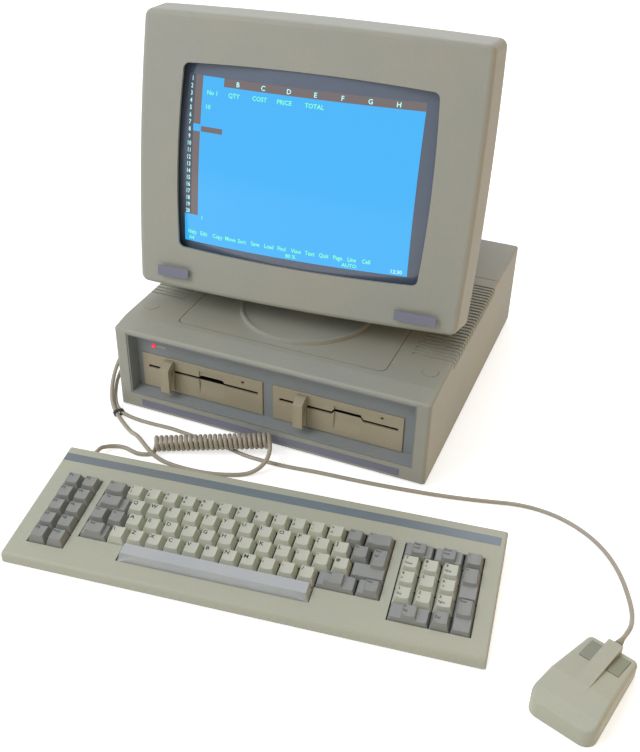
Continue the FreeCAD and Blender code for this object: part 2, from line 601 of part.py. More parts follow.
# Sockets: two D-shaped and two round ones behind, and the side board on the left
rear_sockets = [dsub(name, x, rear_high, half, f"{tray_back} - dsub_depth", "dsub_depth")
                for name, (x, half) in REAR_DSUBS.items()]
for name, x in REAR_DINS.items():
    rear_sockets.append(cut(name, rod(f"{name}_shell", (x, f"{tray_back} - dsub_depth", "rear_din_high"),
                                      "din_radius", "dsub_depth", along="y"),
                            [rod(f"{name}_bore", (x, f"{tray_back} - din_depth", "rear_din_high"),
                                 "din_bore", "dsub_depth", along="y")]))
rear_sockets.append(block("din_bracket", ("power_x - 1.3 * din_radius",
                                          f"{tray_back} - dsub_depth - 2 * sheet_metal",
                                          "board_height + board_thickness"),
                          ("picture_x - power_x + 2.6 * din_radius", "2 * sheet_metal",
                           "rear_din_high")))
side_x = "side_board_gap"
side_board = cut("side_board", block(
    "side_board_block", (side_x, "wheel_back - wheel_radius", "gap + sheet_metal"),
                   ("board_thickness", "side_socket_back - wheel_back + 3 * wheel_radius",
                    "side_socket_high + 2 * din_radius")), [rod(
                        "side_board_notch", ("wheel_radius - wheel_proud", "wheel_back",
                                             "wheel_high - 2 * gap"),
                        "wheel_radius + gap", "wheel_thickness + 4 * gap")])
keyboard_socket = cut("keyboard_socket", rod(
    "keyboard_socket_shell", ("case_wall / 2", "side_socket_back", "side_socket_high"),
    "din_radius", f"{side_x} - case_wall / 2", along="x"),
    [rod("keyboard_socket_bore", ("0", "side_socket_back", "side_socket_high"),
         "din_bore", "din_depth", along="x")])
mouse_socket = cut("mouse_socket", block(
    "mouse_socket_shell", ("case_wall / 2", "mouse_socket_back - side_dsub / 2",
                           "mouse_socket_high - dsub_height / 2"),
    (f"{side_x} - case_wall / 2", "side_dsub", "dsub_height")),
    [block("mouse_socket_bore", ("0", "mouse_socket_back - side_dsub / 2 + board_thickness",
                                 "mouse_socket_high - dsub_height / 2 + board_thickness"),
           ("din_depth", "side_dsub - 2 * board_thickness", "dsub_height - 2 * board_thickness"))])
wheel_x = "(wheel_radius - wheel_proud)"
pot = block("volume_pot", (f"{wheel_x} - 2 * wheel_pin", "wheel_back - 2 * wheel_pin",
                           "wheel_high - gap - wheel_radius / 2"),
            (f"{side_x} - {wheel_x} + 2 * wheel_pin", "4 * wheel_pin", "wheel_radius / 2"))
pot_pin = rod("volume_pin", (wheel_x, "wheel_back", "wheel_high - gap - overrun"), "wheel_pin",
              "wheel_thickness + overrun")
node("connector_sockets", group("connector_sockets", rear_sockets + [
    side_board, keyboard_socket, mouse_socket, fuse("volume_control", [pot, pot_pin])]))
volume = wheel("volume_disc", "wheel_radius", "wheel_thickness", "wheel_pin + run_gap",
               "wheel_notch", "wheel_notches")
node("volume_wheel", at(volume, (wheel_x, "wheel_back", "wheel_high")))

speaker = new_body("speaker_cone")
revolve(speaker, outline(sketch_on(speaker, "XZ_Plane", "speaker_outline"), [
    ("0", "0"), ("speaker_radius / 2", "0"), ("speaker_radius / 2", "speaker_height / 2"),
    ("speaker_radius", "speaker_height - sheet_metal"), ("speaker_radius", "speaker_height"),
    ("speaker_radius * 0.9", "speaker_height"), ("speaker_radius / 4", "speaker_height / 2"),
    ("0", "speaker_height / 2")]))
node("speaker", at(speaker, ("unit_width - speaker_side", "speaker_y", "gap + sheet_metal")))

# The grey tray sunk into the front, with its windows for the drives
panel = block("panel_block", ("window_side + gap", "gap * 2", "window_low + gap"),
              ("unit_width - 2 * (window_side + gap)", "panel_floor - 2 * gap",
               "window_high - window_low - 2 * gap"))
flange = block("panel_flange", ("window_side - panel_flange", "case_wall + gap / 2",
                                "window_low - panel_flange"),
               ("unit_width - 2 * (window_side - panel_flange)", "board_thickness",
                f"{cavity_top} - gap - window_low + panel_flange"))
recess = doc.addObject("Part::Wedge", "panel_recess")
recess.Placement = Placement(Vector(), Rotation(Vector(1, 0, 0), 0))
bind(recess, {
    "Xmin": "window_side + panel_flange / 2", "Xmax": "unit_width - window_side - panel_flange / 2",
    "Ymin": "0", "Ymax": "panel_recess", "Zmin": "window_low + panel_flange / 2",
    "Zmax": "window_high - panel_flange / 2",
    "X2min": "window_side + panel_flange / 2 + recess_side",
    "X2max": "unit_width - window_side - panel_flange / 2 - recess_side",
    "Z2min": "window_low + recess_rise", "Z2max": "window_high - panel_flange / 2 - recess_side"})
DRIVES = {"left": "first_drive", "right": "second_drive"}
drive_windows = [block(f"{side}_drive_window", (f"{start} - gap", "panel_recess - overrun",
                                                "fascia_low - gap"),
                       ("fascia_width + 2 * gap", "panel_floor", "fascia_height + 2 * gap"))
                 for side, start in DRIVES.items()]
lamp_hole = rod("power_lamp_hole", ("power_lamp_x", "panel_recess - overrun", "power_lamp_z"),
                "power_lamp_radius + run_gap", "panel_floor", along="y")
node("front_panel", cut("front_panel", fuse("panel_parts", [panel, flange]),
                        [fuse("panel_openings", [recess, lamp_hole] + drive_windows)]))

lamps = [fuse("power_lamp", [
    rod("power_lamp_body", ("power_lamp_x", "panel_recess - gap", "power_lamp_z"),
        "power_lamp_radius", "panel_floor - panel_recess + 4 * gap", along="y"),
    ball("power_lamp_dome", ("power_lamp_x", "panel_recess - gap", "power_lamp_z"),
         "power_lamp_radius")])]
lamps += [rod(f"{side}_drive_lamp", (f"{start} + drive_lamp_x",
                                     "panel_recess - fascia_proud + board_thickness",
                                     "fascia_low + drive_lamp_z"),
              "drive_lamp_radius - run_gap", "fascia_thickness", along="y")
          for side, start in DRIVES.items()]
node("indicator_lamps", group("indicator_lamps", lamps))

# Half height disk drives, both on the tray's shelf
fascia_face = "panel_recess - fascia_proud"
frame_front = f"{fascia_face} + fascia_thickness"
disk_high = "fascia_low + (slot_low + slot_high) / 2"
hub_y = f"{fascia_face} + hub_back"
hub_low = f"{disk_high} - hub_drop - hub_height"
head_y = f"{hub_y} + head_track"
carriage_front = f"{head_y} - head_inset"
rail_front = f"{carriage_front} - head_travel - rail_margin"
rail_length = "carriage_length + head_travel + 2 * rail_margin"
jog = [("slot_left", "slot_low"), ("tongue_left - slope_run", "slot_low"),
       ("tongue_left", "slot_low + slot_rise"), ("tongue_right", "slot_low + slot_rise"),
       ("tongue_right + slope_run", "slot_low"), ("slot_right", "slot_low"),
       ("slot_right", "slot_high"), ("tongue_right + slope_run", "slot_high"),
       ("tongue_right", "slot_high + slot_rise"), ("tongue_left", "slot_high + slot_rise"),
       ("tongue_left - slope_run", "slot_high"), ("slot_left", "slot_high")]
arch = [("slot_left", "slot_low"), ("slot_right", "slot_low"), ("slot_right", "slot_high"),
        ("tongue_right", "slot_high"), ("tongue_right - slope_run", "slot_high + slot_rise / 2"),
        ("tongue_left + slope_run", "slot_high + slot_rise / 2"), ("tongue_left", "slot_high"),
        ("slot_left", "slot_high")]
for side, start in DRIVES.items():
    plate = block(f"{side}_fascia_plate", (start, fascia_face, "fascia_low"),
                  ("fascia_width", "fascia_thickness", "fascia_height"))
    fascia_edges = rounded(f"{side}_fascia_edges", plate, "fascia_round",
                           lambda edge: edge.CenterOfMass.y < number(fascia_face) + val.run_gap)
    slot = at(prism(f"{side}_slot", "XZ_Plane", arch if side == "left" else jog,
                    "fascia_thickness + 2 * overrun", backwards=True),
              (start, f"{fascia_face} - overrun", "fascia_low"))
    notch = block(f"{side}_finger_notch", (f"{start} + tongue_left", f"{fascia_face} - overrun",
                                           "fascia_low + slot_high"),
                  ("tongue_right - tongue_left", "notch_depth + overrun",
                   "notch_high - slot_high"))
    ramp = at(prism(f"{side}_thumb_ramp", "YZ_Plane", [
        ("0 - overrun", "thumb_low"), ("0", "thumb_low"), ("notch_depth", "thumb_high"),
        ("notch_depth", "slot_high"), ("0 - overrun", "slot_high")],
        "tongue_right - tongue_left"), (f"{start} + tongue_left", fascia_face, "fascia_low"))
    shaft_hole = rod(f"{side}_shaft_hole", (f"{start} + lever_x", f"{fascia_face} - overrun",
                                            "fascia_low + lever_z"), "lever_shaft + run_gap",
                     "fascia_thickness + 2 * overrun", along="y")
    lamp_seat = rod(f"{side}_lamp_seat", (f"{start} + drive_lamp_x", f"{fascia_face} - overrun",
                                          "fascia_low + drive_lamp_z"), "drive_lamp_radius",
                    "fascia_thickness + 2 * overrun", along="y")
    node(f"{side}_drive_fascia",
         cut(f"{side}_drive_fascia", fascia_edges,
             [fuse(f"{side}_fascia_cuts", [slot, notch, ramp, shaft_hole, lamp_seat])]))

    handle = at(prism(f"{side}_handle", "YZ_Plane", [
        ("0 - gap", "lever_z + lever_high"), ("0 - gap", "lever_z + lever_high - lever_long"),
        ("0 - gap - lever_blade * 0.6", "lever_z + lever_high - lever_long"),
        ("0 - gap - lever_blade * 0.6", "lever_z - lever_blade"),
        ("lever_blade - lever_reach", "lever_z - 2 * lever_blade"),
        ("lever_blade - lever_reach", "lever_z + lever_high - lever_long + lever_lift"),
        ("0 - lever_reach", "lever_z + lever_high - lever_long + lever_lift"),
        ("0 - lever_reach", "lever_z + lever_high - lever_slope"),
        ("0 - lever_reach / 3", "lever_z + lever_high")], "lever_width"),
        (f"{start} + lever_x - lever_width / 2", fascia_face, "fascia_low"))
    handle_edges = rounded(f"{side}_handle_edges", handle, "lever_round",
                           lambda edge: edge.CenterOfMass.y < number(fascia_face) - val.lever_reach / 2
                           and level(edge, "x"))
    shaft = rod(f"{side}_shaft", (f"{start} + lever_x", f"{fascia_face} - gap - overrun",
                                  "fascia_low + lever_z"), "lever_shaft",
                "fascia_thickness + 2 * overrun + lever_shaft", along="y")
    node(f"{side}_drive_lever", fuse(f"{side}_drive_lever", [handle_edges, shaft]))

    frame_x = f"{start} + (fascia_width - frame_width) / 2"
    channel = cut(f"{side}_channel", block(f"{side}_channel_block",
                                           (frame_x, frame_front, "shelf_top"),
                                           ("frame_width", "frame_depth", "frame_height")),
                  [block(f"{side}_channel_hollow", (f"{frame_x} + frame_wall",
                                                    f"{frame_front} - overrun",
                                                    "shelf_top + frame_wall"),
                         ("frame_width - 2 * frame_wall", "frame_depth + 2 * overrun",
                          "frame_height"))])
    middle = f"{frame_x} + frame_width / 2"
    housing = rod(f"{side}_housing", (middle, hub_y, "shelf_top + frame_wall / 2"),
                  "bearing_radius", f"{hub_low} - gap - shelf_top - frame_wall / 2")
    rests = [block(f"{side}_rail_rest_{index}", (f"{middle} - rail_spacing", y,
                                                 "shelf_top + frame_wall / 2"),
                   ("2 * rail_spacing", "rail_margin - gap", "frame_wall / 2 + rail_height + rail_rest"))
             for index, y in enumerate((rail_front,
                                        f"{rail_front} + {rail_length} - rail_margin + gap"))]
    rails = [rod(f"{side}_rail_{index}", (f"{middle} {sign} rail_spacing / 2", rail_front,
                                          "shelf_top + frame_wall + rail_height"),
                 "rail_radius", rail_length, along="y")
             for index, sign in enumerate("-+")]
    bore = rod(f"{side}_bearing_bore", (middle, hub_y, "shelf_top - overrun"),
               "spindle_radius + run_gap", "frame_height")
    chassis = cut(f"{side}_chassis", fuse(f"{side}_chassis_parts",
                                          [channel, housing] + rests + rails), [bore])
    stepper = rod(f"{side}_stepper", (f"{frame_x} + frame_wall + stepper_radius + 2 * gap",
                                      f"{frame_front} + frame_depth - stepper_radius - 2 * gap",
                                      "shelf_top + frame_wall"), "stepper_radius",
                  "stepper_height")
    logic = block(f"{side}_drive_board", (frame_x, f"{frame_front} + lever_reach",
                                          "shelf_top + frame_height"),
                  ("frame_width", "frame_depth - 2 * lever_reach", "board_thickness"))
    node(f"{side}_drive_frame", group(f"{side}_drive_frame", [chassis, stepper, logic]))

    node(f"{side}_drive_spindle", fuse(f"{side}_drive_spindle", [
        rod(f"{side}_hub", (middle, hub_y, hub_low), "hub_radius", "hub_height"),
        rod(f"{side}_spindle", (middle, hub_y, "shelf_top + gap"), "spindle_radius",
            f"{hub_low} - shelf_top")]))

    carriage_x = f"{middle} - carriage_width / 2"
    sled = block(f"{side}_sled", (carriage_x, carriage_front,
                                  "shelf_top + frame_wall + rail_height - carriage_low"),
                 ("carriage_width", "carriage_length",
                  f"{disk_high} - arm_gap / 2 - shelf_top - frame_wall - rail_height + carriage_low"))
    neck = block(f"{side}_neck", (f"{middle} - arm_width / 2",
                                  f"{carriage_front} + carriage_length - arm_neck",
                                  f"{disk_high} - arm_gap"),
                 ("arm_width", "arm_neck", "2 * arm_gap"))
    upper_arm = block(f"{side}_arm", (f"{middle} - arm_width / 2", carriage_front,
                                      f"{disk_high} + arm_gap / 2"),
                      ("arm_width", "carriage_length", "arm_height"))
    heads = [rod(f"{side}_head_{index}", (middle, head_y, z), "head_radius", "arm_gap / 3 + overrun")
             for index, z in enumerate((f"{disk_high} - arm_gap / 2 - overrun",
                                        f"{disk_high} + arm_gap / 6"))]
    rail_holes = [rod(f"{side}_rail_hole_{index}", (f"{middle} {sign} rail_spacing / 2",
                                                    f"{carriage_front} - overrun",
                                                    "shelf_top + frame_wall + rail_height"),
                      "rail_radius + run_gap", "carriage_length + 2 * overrun", along="y")
                  for index, sign in enumerate("-+")]
    node(f"{side}_head_carriage", cut(f"{side}_head_carriage", fuse(
        f"{side}_carriage_parts", [sled, neck, upper_arm] + heads), rail_holes))


# Monitor, drawn upright round the middle of its face's lower edge, Y runs back into it
def bowed(half_width, low, high, bow, depth):
    """A closed outline of four arcs that bulge by bow, standing at one depth."""
    corners = [(-half_width, low), (half_width, low), (half_width, high), (-half_width, high)]
    middles = [(0, low - bow), (half_width + bow, (low + high) / 2), (0, high + bow),
               (-half_width - bow, (low + high) / 2)]
    arcs = []
    for index, (x, z) in enumerate(middles):
        begin = corners[index]
        end = corners[(index + 1) % 4]
        arcs.append(Part.Arc(Vector(begin[0], depth, begin[1]), Vector(x, depth, z),
                             Vector(end[0], depth, end[1])).toShape())
    return Part.Wire(arcs)


def round_box(half_width, low, high, radius, depth):
    """An upright outline of straight sides and round corners, in eight parts."""
    parts = []
    half_high = (high - low) / 2
    for quarter in range(4):
        turn = Rotation(Vector(0, 1, 0), -90 * quarter)
        wide, tall = (half_width, half_high) if quarter % 2 == 0 else (half_high, half_width)
        corner = Vector(wide - radius, 0, tall - radius)
        side_end = corner + Vector(radius, 0, 0)
        parts.append(Part.makeLine(turn.multVec(Vector(wide, 0, radius - tall)),
                                   turn.multVec(side_end)))
        parts.append(Part.Arc(turn.multVec(side_end),
                              turn.multVec(corner + Vector(radius, 0, radius) * math.sqrt(0.5)),
                              turn.multVec(corner + Vector(0, 0, radius))).toShape())
    wire = Part.Wire(parts)
    wire.translate(Vector(0, depth, (low + high) / 2))
    return wire


def loft(wires):
    return Part.makeLoft(wires, True, True)


def runs_back(edge):
    """True for an edge that runs from front to back."""
    return abs((edge.Vertexes[0].Point - edge.Vertexes[-1].Point).y) > 3 * val.bezel_wall


def ball_at(radius, x, y, z):
    return Part.makeSphere(radius, Vector(x, y, z))


half_face = val.face_width / 2
mid_high = val.face_height / 2
rim = val.bezel_flare / val.bezel_depth
tube_half = val.tube_width / 2
tube_low = mid_high - val.tube_height / 2
tube_high = mid_high + val.tube_height / 2


def bezel_block(inset, front, back):
    """The bezel's outside, or its inside when inset by the wall."""
    wires = []
    for depth in (front, back):
        grow = rim * depth - inset
        wires.append(bowed(half_face + grow, -grow, val.face_height + grow, val.face_bow, depth))
    return loft(wires)


face_ball = ball_at(val.face_radius, 0, val.face_radius, mid_high)
inner_ball = ball_at(val.face_radius - val.bezel_wall, 0, val.face_radius, mid_high)
outside = bezel_block(0, -val.overrun, val.bezel_depth)
outside = outside.makeFillet(val.face_corner, [edge for edge in outside.Edges if runs_back(edge)])
outside = outside.common(face_ball)
front_edges = [edge for edge in outside.Edges if edge.BoundBox.YMax < val.face_sag + val.bezel_wall]
outside = outside.makeFillet(val.face_round, front_edges)
inside = bezel_block(val.bezel_wall, -val.overrun, val.bezel_depth + val.overrun)
inside = inside.common(inner_ball)
opening_low = val.opening_low
opening = bowed(val.opening_width / 2, opening_low, opening_low + val.opening_height,
                val.opening_bow, -val.overrun)
opening = Part.Face(opening).extrude(Vector(0, val.bezel_depth, 0))
opening = opening.makeFillet(val.opening_corner, [edge for edge in opening.Edges
                                                  if runs_back(edge)])
tube_ball = ball_at(val.tube_radius + val.gap, 0, val.tube_front + val.tube_radius, mid_high)
tube_seat = Part.Face(bowed(tube_half + val.gap, tube_low - val.gap, tube_high + val.gap,
                            val.tube_bow, val.tube_front))
tube_seat = tube_seat.extrude(Vector(0, val.bezel_depth, 0)).common(tube_ball)
bezel = outside.cut([inside, opening, tube_seat])
swivel = Rotation(Vector(0, 0, 1), val.swivel_deg)
pivot = Placement(Vector(val.foot_x, val.foot_y, 0), swivel) * Placement(
    Vector(0, val.pivot_back, val.unit_height + val.pivot_high),
    Rotation(Vector(1, 0, 0), -val.lean_deg))
head = pivot * Placement(Vector(0, -val.pivot_depth, -val.pivot_rise), Rotation())
node("monitor_bezel", shape("monitor_bezel", bezel), head)

# Rear case: plugs into the bezel's rim and narrows to the back
plug_half = half_face + val.bezel_flare - val.bezel_wall - val.gap
plug_low = -val.bezel_flare + val.bezel_wall + val.gap
plug_high = val.face_height + val.bezel_flare - val.bezel_wall - val.gap


def rear_block(inset, front, back):
    """The rear case's outside, or its inside when inset by the wall."""
    sections = [(plug_half, plug_low, plug_high, front),
                (plug_half, plug_low, plug_high, val.bezel_depth),
                (val.shoulder_width / 2, val.shoulder_low, val.shoulder_high, val.shoulder_depth),
                (val.rear_width / 2, val.rear_low, val.rear_high, back)]
    return loft([round_box(half - inset, low + inset, high - inset, val.face_corner - inset, depth)
                 for half, low, high, depth in sections])


def wall_at(depth):
    """Half the rear case's width at a depth."""
    if depth < val.shoulder_depth:
        share = (depth - val.bezel_depth) / (val.shoulder_depth - val.bezel_depth)
        return plug_half + share * (val.shoulder_width / 2 - plug_half)
    share = (depth - val.shoulder_depth) / (val.rear_depth - val.shoulder_depth)
    return val.shoulder_width / 2 + share * (val.rear_width - val.shoulder_width) / 2


plug_front = val.bezel_depth - val.plug_lap
rear_round = rear_block(0, plug_front, val.rear_depth)
rear_inside = rear_block(val.rear_wall, plug_front, val.rear_depth - val.rear_wall)
dome = ball_at(val.dome_radius, 0, val.pivot_depth, val.pivot_rise)
dome = dome.common(Part.makeBox(
    2 * val.dome_radius, 2 * val.dome_radius, 2 * val.dome_radius,
    Vector(-val.dome_radius, val.bezel_depth + val.dome_gap,
           val.dome_top - 2 * val.dome_radius)))
ribs = []
for side in (-1, 1):
    ribs.append(Part.makeBox(
        plug_half, val.chassis_back - val.chassis_front + val.rib, val.rib,
        Vector(min(side * (val.chassis_half - val.rib), side * (plug_half + val.chassis_half
                                                                - val.rib)),
               val.chassis_front - val.rib / 2, val.chassis_low - val.rib)))
knob_x = wall_at(val.knob_depth) + val.knob_proud - val.knob_radius
button_x = wall_at(val.button_depth) + val.button_proud
bracket = Part.makeBox(plug_half, 4 * val.wheel_pin, val.rib,
                       Vector(knob_x - 2 * val.wheel_pin, val.knob_depth - 2 * val.wheel_pin,
                              val.knob_high - val.gap - val.rib))
knob_pin = Part.makeCylinder(val.wheel_pin, val.knob_thickness + val.gap,
                             Vector(knob_x, val.knob_depth, val.knob_high - val.gap))
inner_parts = Part.makeCompound(ribs + [bracket]).common(rear_round)
shell = rear_round.cut(rear_inside)
button_hole = Part.makeBox(
    button_x, val.button_length + 2 * val.gap, val.button_side + 2 * val.gap,
    Vector(button_x / 2, val.button_depth - val.button_length / 2 - val.gap,
           val.button_high - val.gap))
knob_slot = Part.makeBox(
    knob_x, 2 * (val.knob_radius + val.gap), val.knob_thickness + 4 * val.gap,
    Vector(knob_x, val.knob_depth - val.knob_radius - val.gap, val.knob_high - 2 * val.gap))
gland_holes = [Part.makeCylinder(
    val.gland_radius + val.gap, val.gland_length, Vector(
        side * val.gland_spread / 2, val.rear_depth - val.gland_length / 2,
        val.rear_low + val.gland_rise), Vector(0, 1, 0)) for side in (-1, 1)]
vents = [Part.makeBox(
    val.rear_vent_length, val.rear_vent_width, val.face_height,
    Vector(-val.rear_vent_length / 2, val.rear_vent_start + index * val.rear_vent_pitch,
           val.rear_high - val.rear_vent_length / 2)) for index in range(int(val.rear_vents))]
shell = shell.cut([button_hole, knob_slot] + gland_holes + vents)
rear_case = shell.fuse([inner_parts, dome, knob_pin]).removeSplitter()
node("monitor_rear_case", shape("monitor_rear_case", rear_case), head)


# Picture tube: curved face, steel band, glass funnel and neck
band_end = val.face_sag + val.tube_band
face_band = Part.Face(round_box(tube_half, tube_low, tube_high, val.tube_corner,
                                val.tube_front)).extrude(
    Vector(0, band_end - val.tube_front, 0)).common(
    ball_at(val.tube_radius, 0, val.tube_front + val.tube_radius, mid_high))
neck_half = 1.1 * val.neck_radius
funnel = loft([round_box(tube_half, tube_low, tube_high, val.tube_corner, band_end),
               round_box(neck_half, mid_high - neck_half, mid_high + neck_half, val.neck_radius,
                         val.funnel_end)])
neck = Part.makeCylinder(val.neck_radius, val.neck_end - val.funnel_end + val.overrun,
                         Vector(0, val.funnel_end - val.overrun, mid_high), Vector(0, 1, 0))
tube = face_band.fuse([funnel, neck]).removeSplitter()
node("picture_tube", shape("picture_tube", tube), head)

yoke = new_body("deflection_yoke")
revolve(yoke, outline(sketch_on(yoke, "XZ_Plane", "yoke_outline"), [
    ("neck_radius + gap", "0"), ("yoke_radius", "0"), ("yoke_radius", "yoke_length / 4"),
    ("yoke_back_radius", "yoke_length / 4"), ("yoke_back_radius", "yoke_length"),
    ("neck_radius + gap", "yoke_length")]))
yoke.Label = "yoke_ring"
standing = Placement(Vector(0, val.yoke_start, mid_high), Rotation(Vector(1, 0, 0), -90))
yoke.Placement = standing
node("deflection_yoke", group("deflection_yoke", [yoke]), head)

chassis_board = block("chassis_board", ("0 - chassis_half", "chassis_front", "chassis_low"),
                      ("2 * chassis_half", "chassis_back - chassis_front", "board_thickness"))
neck_board = cut("neck_board", block(
    "neck_board_block", ("0 - neck_board / 2", "neck_end - 2 * board_thickness",
                         "face_height / 2 - neck_board / 2"),
    ("neck_board", "board_thickness", "neck_board")),
    [rod("neck_socket_hole", ("0", "neck_end - 3 * board_thickness", "face_height / 2"),
         "neck_radius + run_gap", "6 * board_thickness", along="y")])
flyback = rod("flyback", ("0 - chassis_half + 2 * flyback_radius", "chassis_back - 1.8 * flyback_radius",
                          "chassis_low + board_thickness"), "flyback_radius", "flyback_height")
transformer_box = block("transformer", ("chassis_half - 1.9 * transformer",
                                        "chassis_back - 1.3 * transformer",
                                        "chassis_low + board_thickness"),
                        ("transformer", "transformer", "transformer_height"))
node("monitor_boards", group("monitor_boards", [chassis_board, neck_board, flyback,
                                                transformer_box]), head)

button = Part.makeBox(button_x - val.chassis_half - 2 * val.rib, val.button_length, val.button_side,
                      Vector(val.chassis_half + 2 * val.rib,
                             val.button_depth - val.button_length / 2, val.button_high))
button = button.makeFillet(val.plug_front_round, [edge for edge in button.Edges
                                                  if edge.CenterOfMass.x > button_x - val.gap])
node("power_button", shape("power_button", button), head)

knob = wheel("knob", "knob_radius", "knob_thickness", "wheel_pin + run_gap", "wheel_notch",
             "knob_notches")
knob.Placement = Placement(Vector(knob_x, val.knob_depth, val.knob_high), Rotation())
node("brightness_wheel", group("brightness_wheel", [knob]), head)

node("cable_glands", shape("cable_glands", Part.makeCompound([
    Part.makeCylinder(val.gland_radius, val.gland_length, Vector(
        side * val.gland_spread / 2, val.rear_depth - val.gland_length / 2,
        val.rear_low + val.gland_rise), Vector(0, 1, 0)) for side in (-1, 1)])), head)

# Foot: a low turned dish with the cup of the ball joint, free to turn on the plate
dish = new_body("dish")
revolve(dish, outline(sketch_on(dish, "XZ_Plane", "dish_outline"), [
    ("0", "0 - plate_thickness"), ("spigot_radius", "0 - plate_thickness"), ("spigot_radius", "0"),
    ("dish_radius", "0"), ("dish_radius", "dish_rim"), ("dish_radius - dish_lip", "dish_rim"),
    ("dish_radius - 2 * dish_lip", "dish_floor"), ("0", "dish_floor")]))
cup = cut("cup", rod("cup_rod", ("0", "pivot_back", "dish_floor - overrun"), "cup_radius",
                     "cup_height - dish_floor + overrun"),
          [ball("cup_seat", ("0", "pivot_back", "pivot_high"), "dome_radius + dome_gap")])
node("monitor_foot", fuse("monitor_foot", [dish, cup]),
     Placement(Vector(val.foot_x, val.foot_y, val.unit_height + val.run_gap), swivel))


# Keyboard, its own origin is the deck's front left corner on the desk
def plan_box(left, right, front, back, radius, high):
    """A level outline with round corners."""
    wire = round_box((right - left) / 2, front, back, radius, -high)
    wire.rotate(Vector(), Vector(1, 0, 0), -90)
    wire.translate(Vector((left + right) / 2, 0, 0))
    return wire


slope = math.degrees(math.atan2(val.deck_back - val.deck_front, val.keyboard_depth))
keyboard_place = Placement(Vector(val.keyboard_x, val.keyboard_y, -val.foot_height),
                           Rotation(Vector(0, 0, 1), val.keyboard_deg))
deck = Placement(Vector(0, 0, val.deck_front), Rotation(Vector(1, 0, 0), slope))
pitch = val.pitch
row_pitch = val.row_pitch
BLOCKS = {"function": val.function_left, "main": val.main_left, "pad": val.pad_left}


def cap(left, right, front, back, low, top, start_share, share):
    """A tapering key top between two heights, drawn in by a share at its foot and its top."""
    wires = []
    for high, part in ((low, start_share), (top, share)):
        wires.append(plan_box(left + part * val.cap_side, right - part * val.cap_side,
                              front + part * val.cap_front, back - part * val.cap_rear,
                              val.key_corner, high))
    return loft(wires)


def upper_cap(left, right, front, back):
    """The raised part of a stepped key, which stands a little inside its lower part."""
    ledge = val.cap_ledge
    return cap(left + ledge, right - ledge, front + ledge, back - ledge,
               val.cap_step - ledge, val.cap_top, step_share, 1)


def key(block_name, column, row, wide=1.0, tall=1.0, raised=None, stems=(0,), dished=True):
    """One key in deck coordinates, with its stem; raised gives a stepped key's upper cap."""
    left = BLOCKS[block_name] + column * pitch + val.key_gap / 2
    right = left + wide * pitch - val.key_gap
    middle = val.first_row - row * row_pitch
    back = middle + row_pitch / 2 - val.key_gap / 2
    front = back - tall * row_pitch + val.key_gap
    if raised is None:
        solid = cap(left, right, front, back, -val.cap_low, val.cap_top, 0, 1)
        up_left, up_right = left, right
    else:
        up_left = BLOCKS[block_name] + raised[0] * pitch + val.key_gap / 2
        up_right = up_left + raised[1] * pitch - val.key_gap
        step_front = front + raised[2] * row_pitch
        solid = cap(left, right, front, back, -val.cap_low, val.cap_step, 0, step_share)
        solid = solid.fuse(upper_cap(up_left, up_right, step_front, back))
    if dished:
        length = tall * row_pitch
        hollow = Part.makeCylinder(
            val.dish_key_radius, length, Vector((up_left + up_right) / 2, back - length,
                                                val.cap_top + val.dish_key_radius
                                                - val.dish_key_depth), Vector(0, 1, 0))
        solid = solid.cut(hollow)
    for offset in stems:
        place = Vector((up_left + up_right) / 2 + offset * pitch, (front + back) / 2,
                       -val.cap_low - val.stem_length)
        STEMS.append(place)
        solid = solid.fuse(Part.makeCylinder(val.stem_radius, val.stem_length + val.run_gap, place))
    return solid


STEMS = []
step_share = (val.cap_step + val.cap_low) / (val.cap_top + val.cap_low)
KEYS = {
    "function_keys": [key("function", column, row) for row in range(5) for column in (0, 1)],
    "digit_row_keys": [key("main", 1.25 + column, 0) for column in range(12)],
    "upper_row_keys": [key("main", 1.75 + column, 1) for column in range(12)],
    "home_row_keys": [key("main", 2 + column, 2) for column in range(12)],
    "lower_row_keys": [key("main", 1.5 + column, 3) for column in range(11)],
    "space_bar": [key("main", 2.5, 4, wide=10, stems=(-3.5, 0, 3.5), dished=False)],
    "control_keys": [
        key("main", 0, 0, wide=1.25), key("main", 13.25, 0), key("main", 14.25, 0, wide=1.5),
        key("main", 0, 1, wide=1.75, raised=(0.1, 1.35, 0)), key("main", 13.75, 1),
        key("main", 0, 2), key("main", 1, 2),
        key("main", 0, 3, wide=1.5, raised=(0.1, 1.25, 0)),
        key("main", 12.5, 3, wide=2, raised=(12.75, 1.25, 0)),
        key("main", 14.5, 3, wide=1.25, raised=(14.75, 1, 0)),
        key("pad", 0, 0, wide=1.5, raised=(0.25, 1, 0)),
        key("pad", 1.5, 0, wide=1.5, raised=(1.75, 1, 0)),
        key("pad", 3, 0), key("pad", 3, 1, tall=2, raised=(3, 1, 0.75)),
        key("pad", 3, 3, tall=2, raised=(3, 1, 0.75)),
        key("pad", 0, 4, wide=2, raised=(0.5, 1, 0)), key("pad", 2, 4)],
    "pad_digit_keys": [key("pad", column, row) for row in (1, 2, 3) for column in range(3)],
}
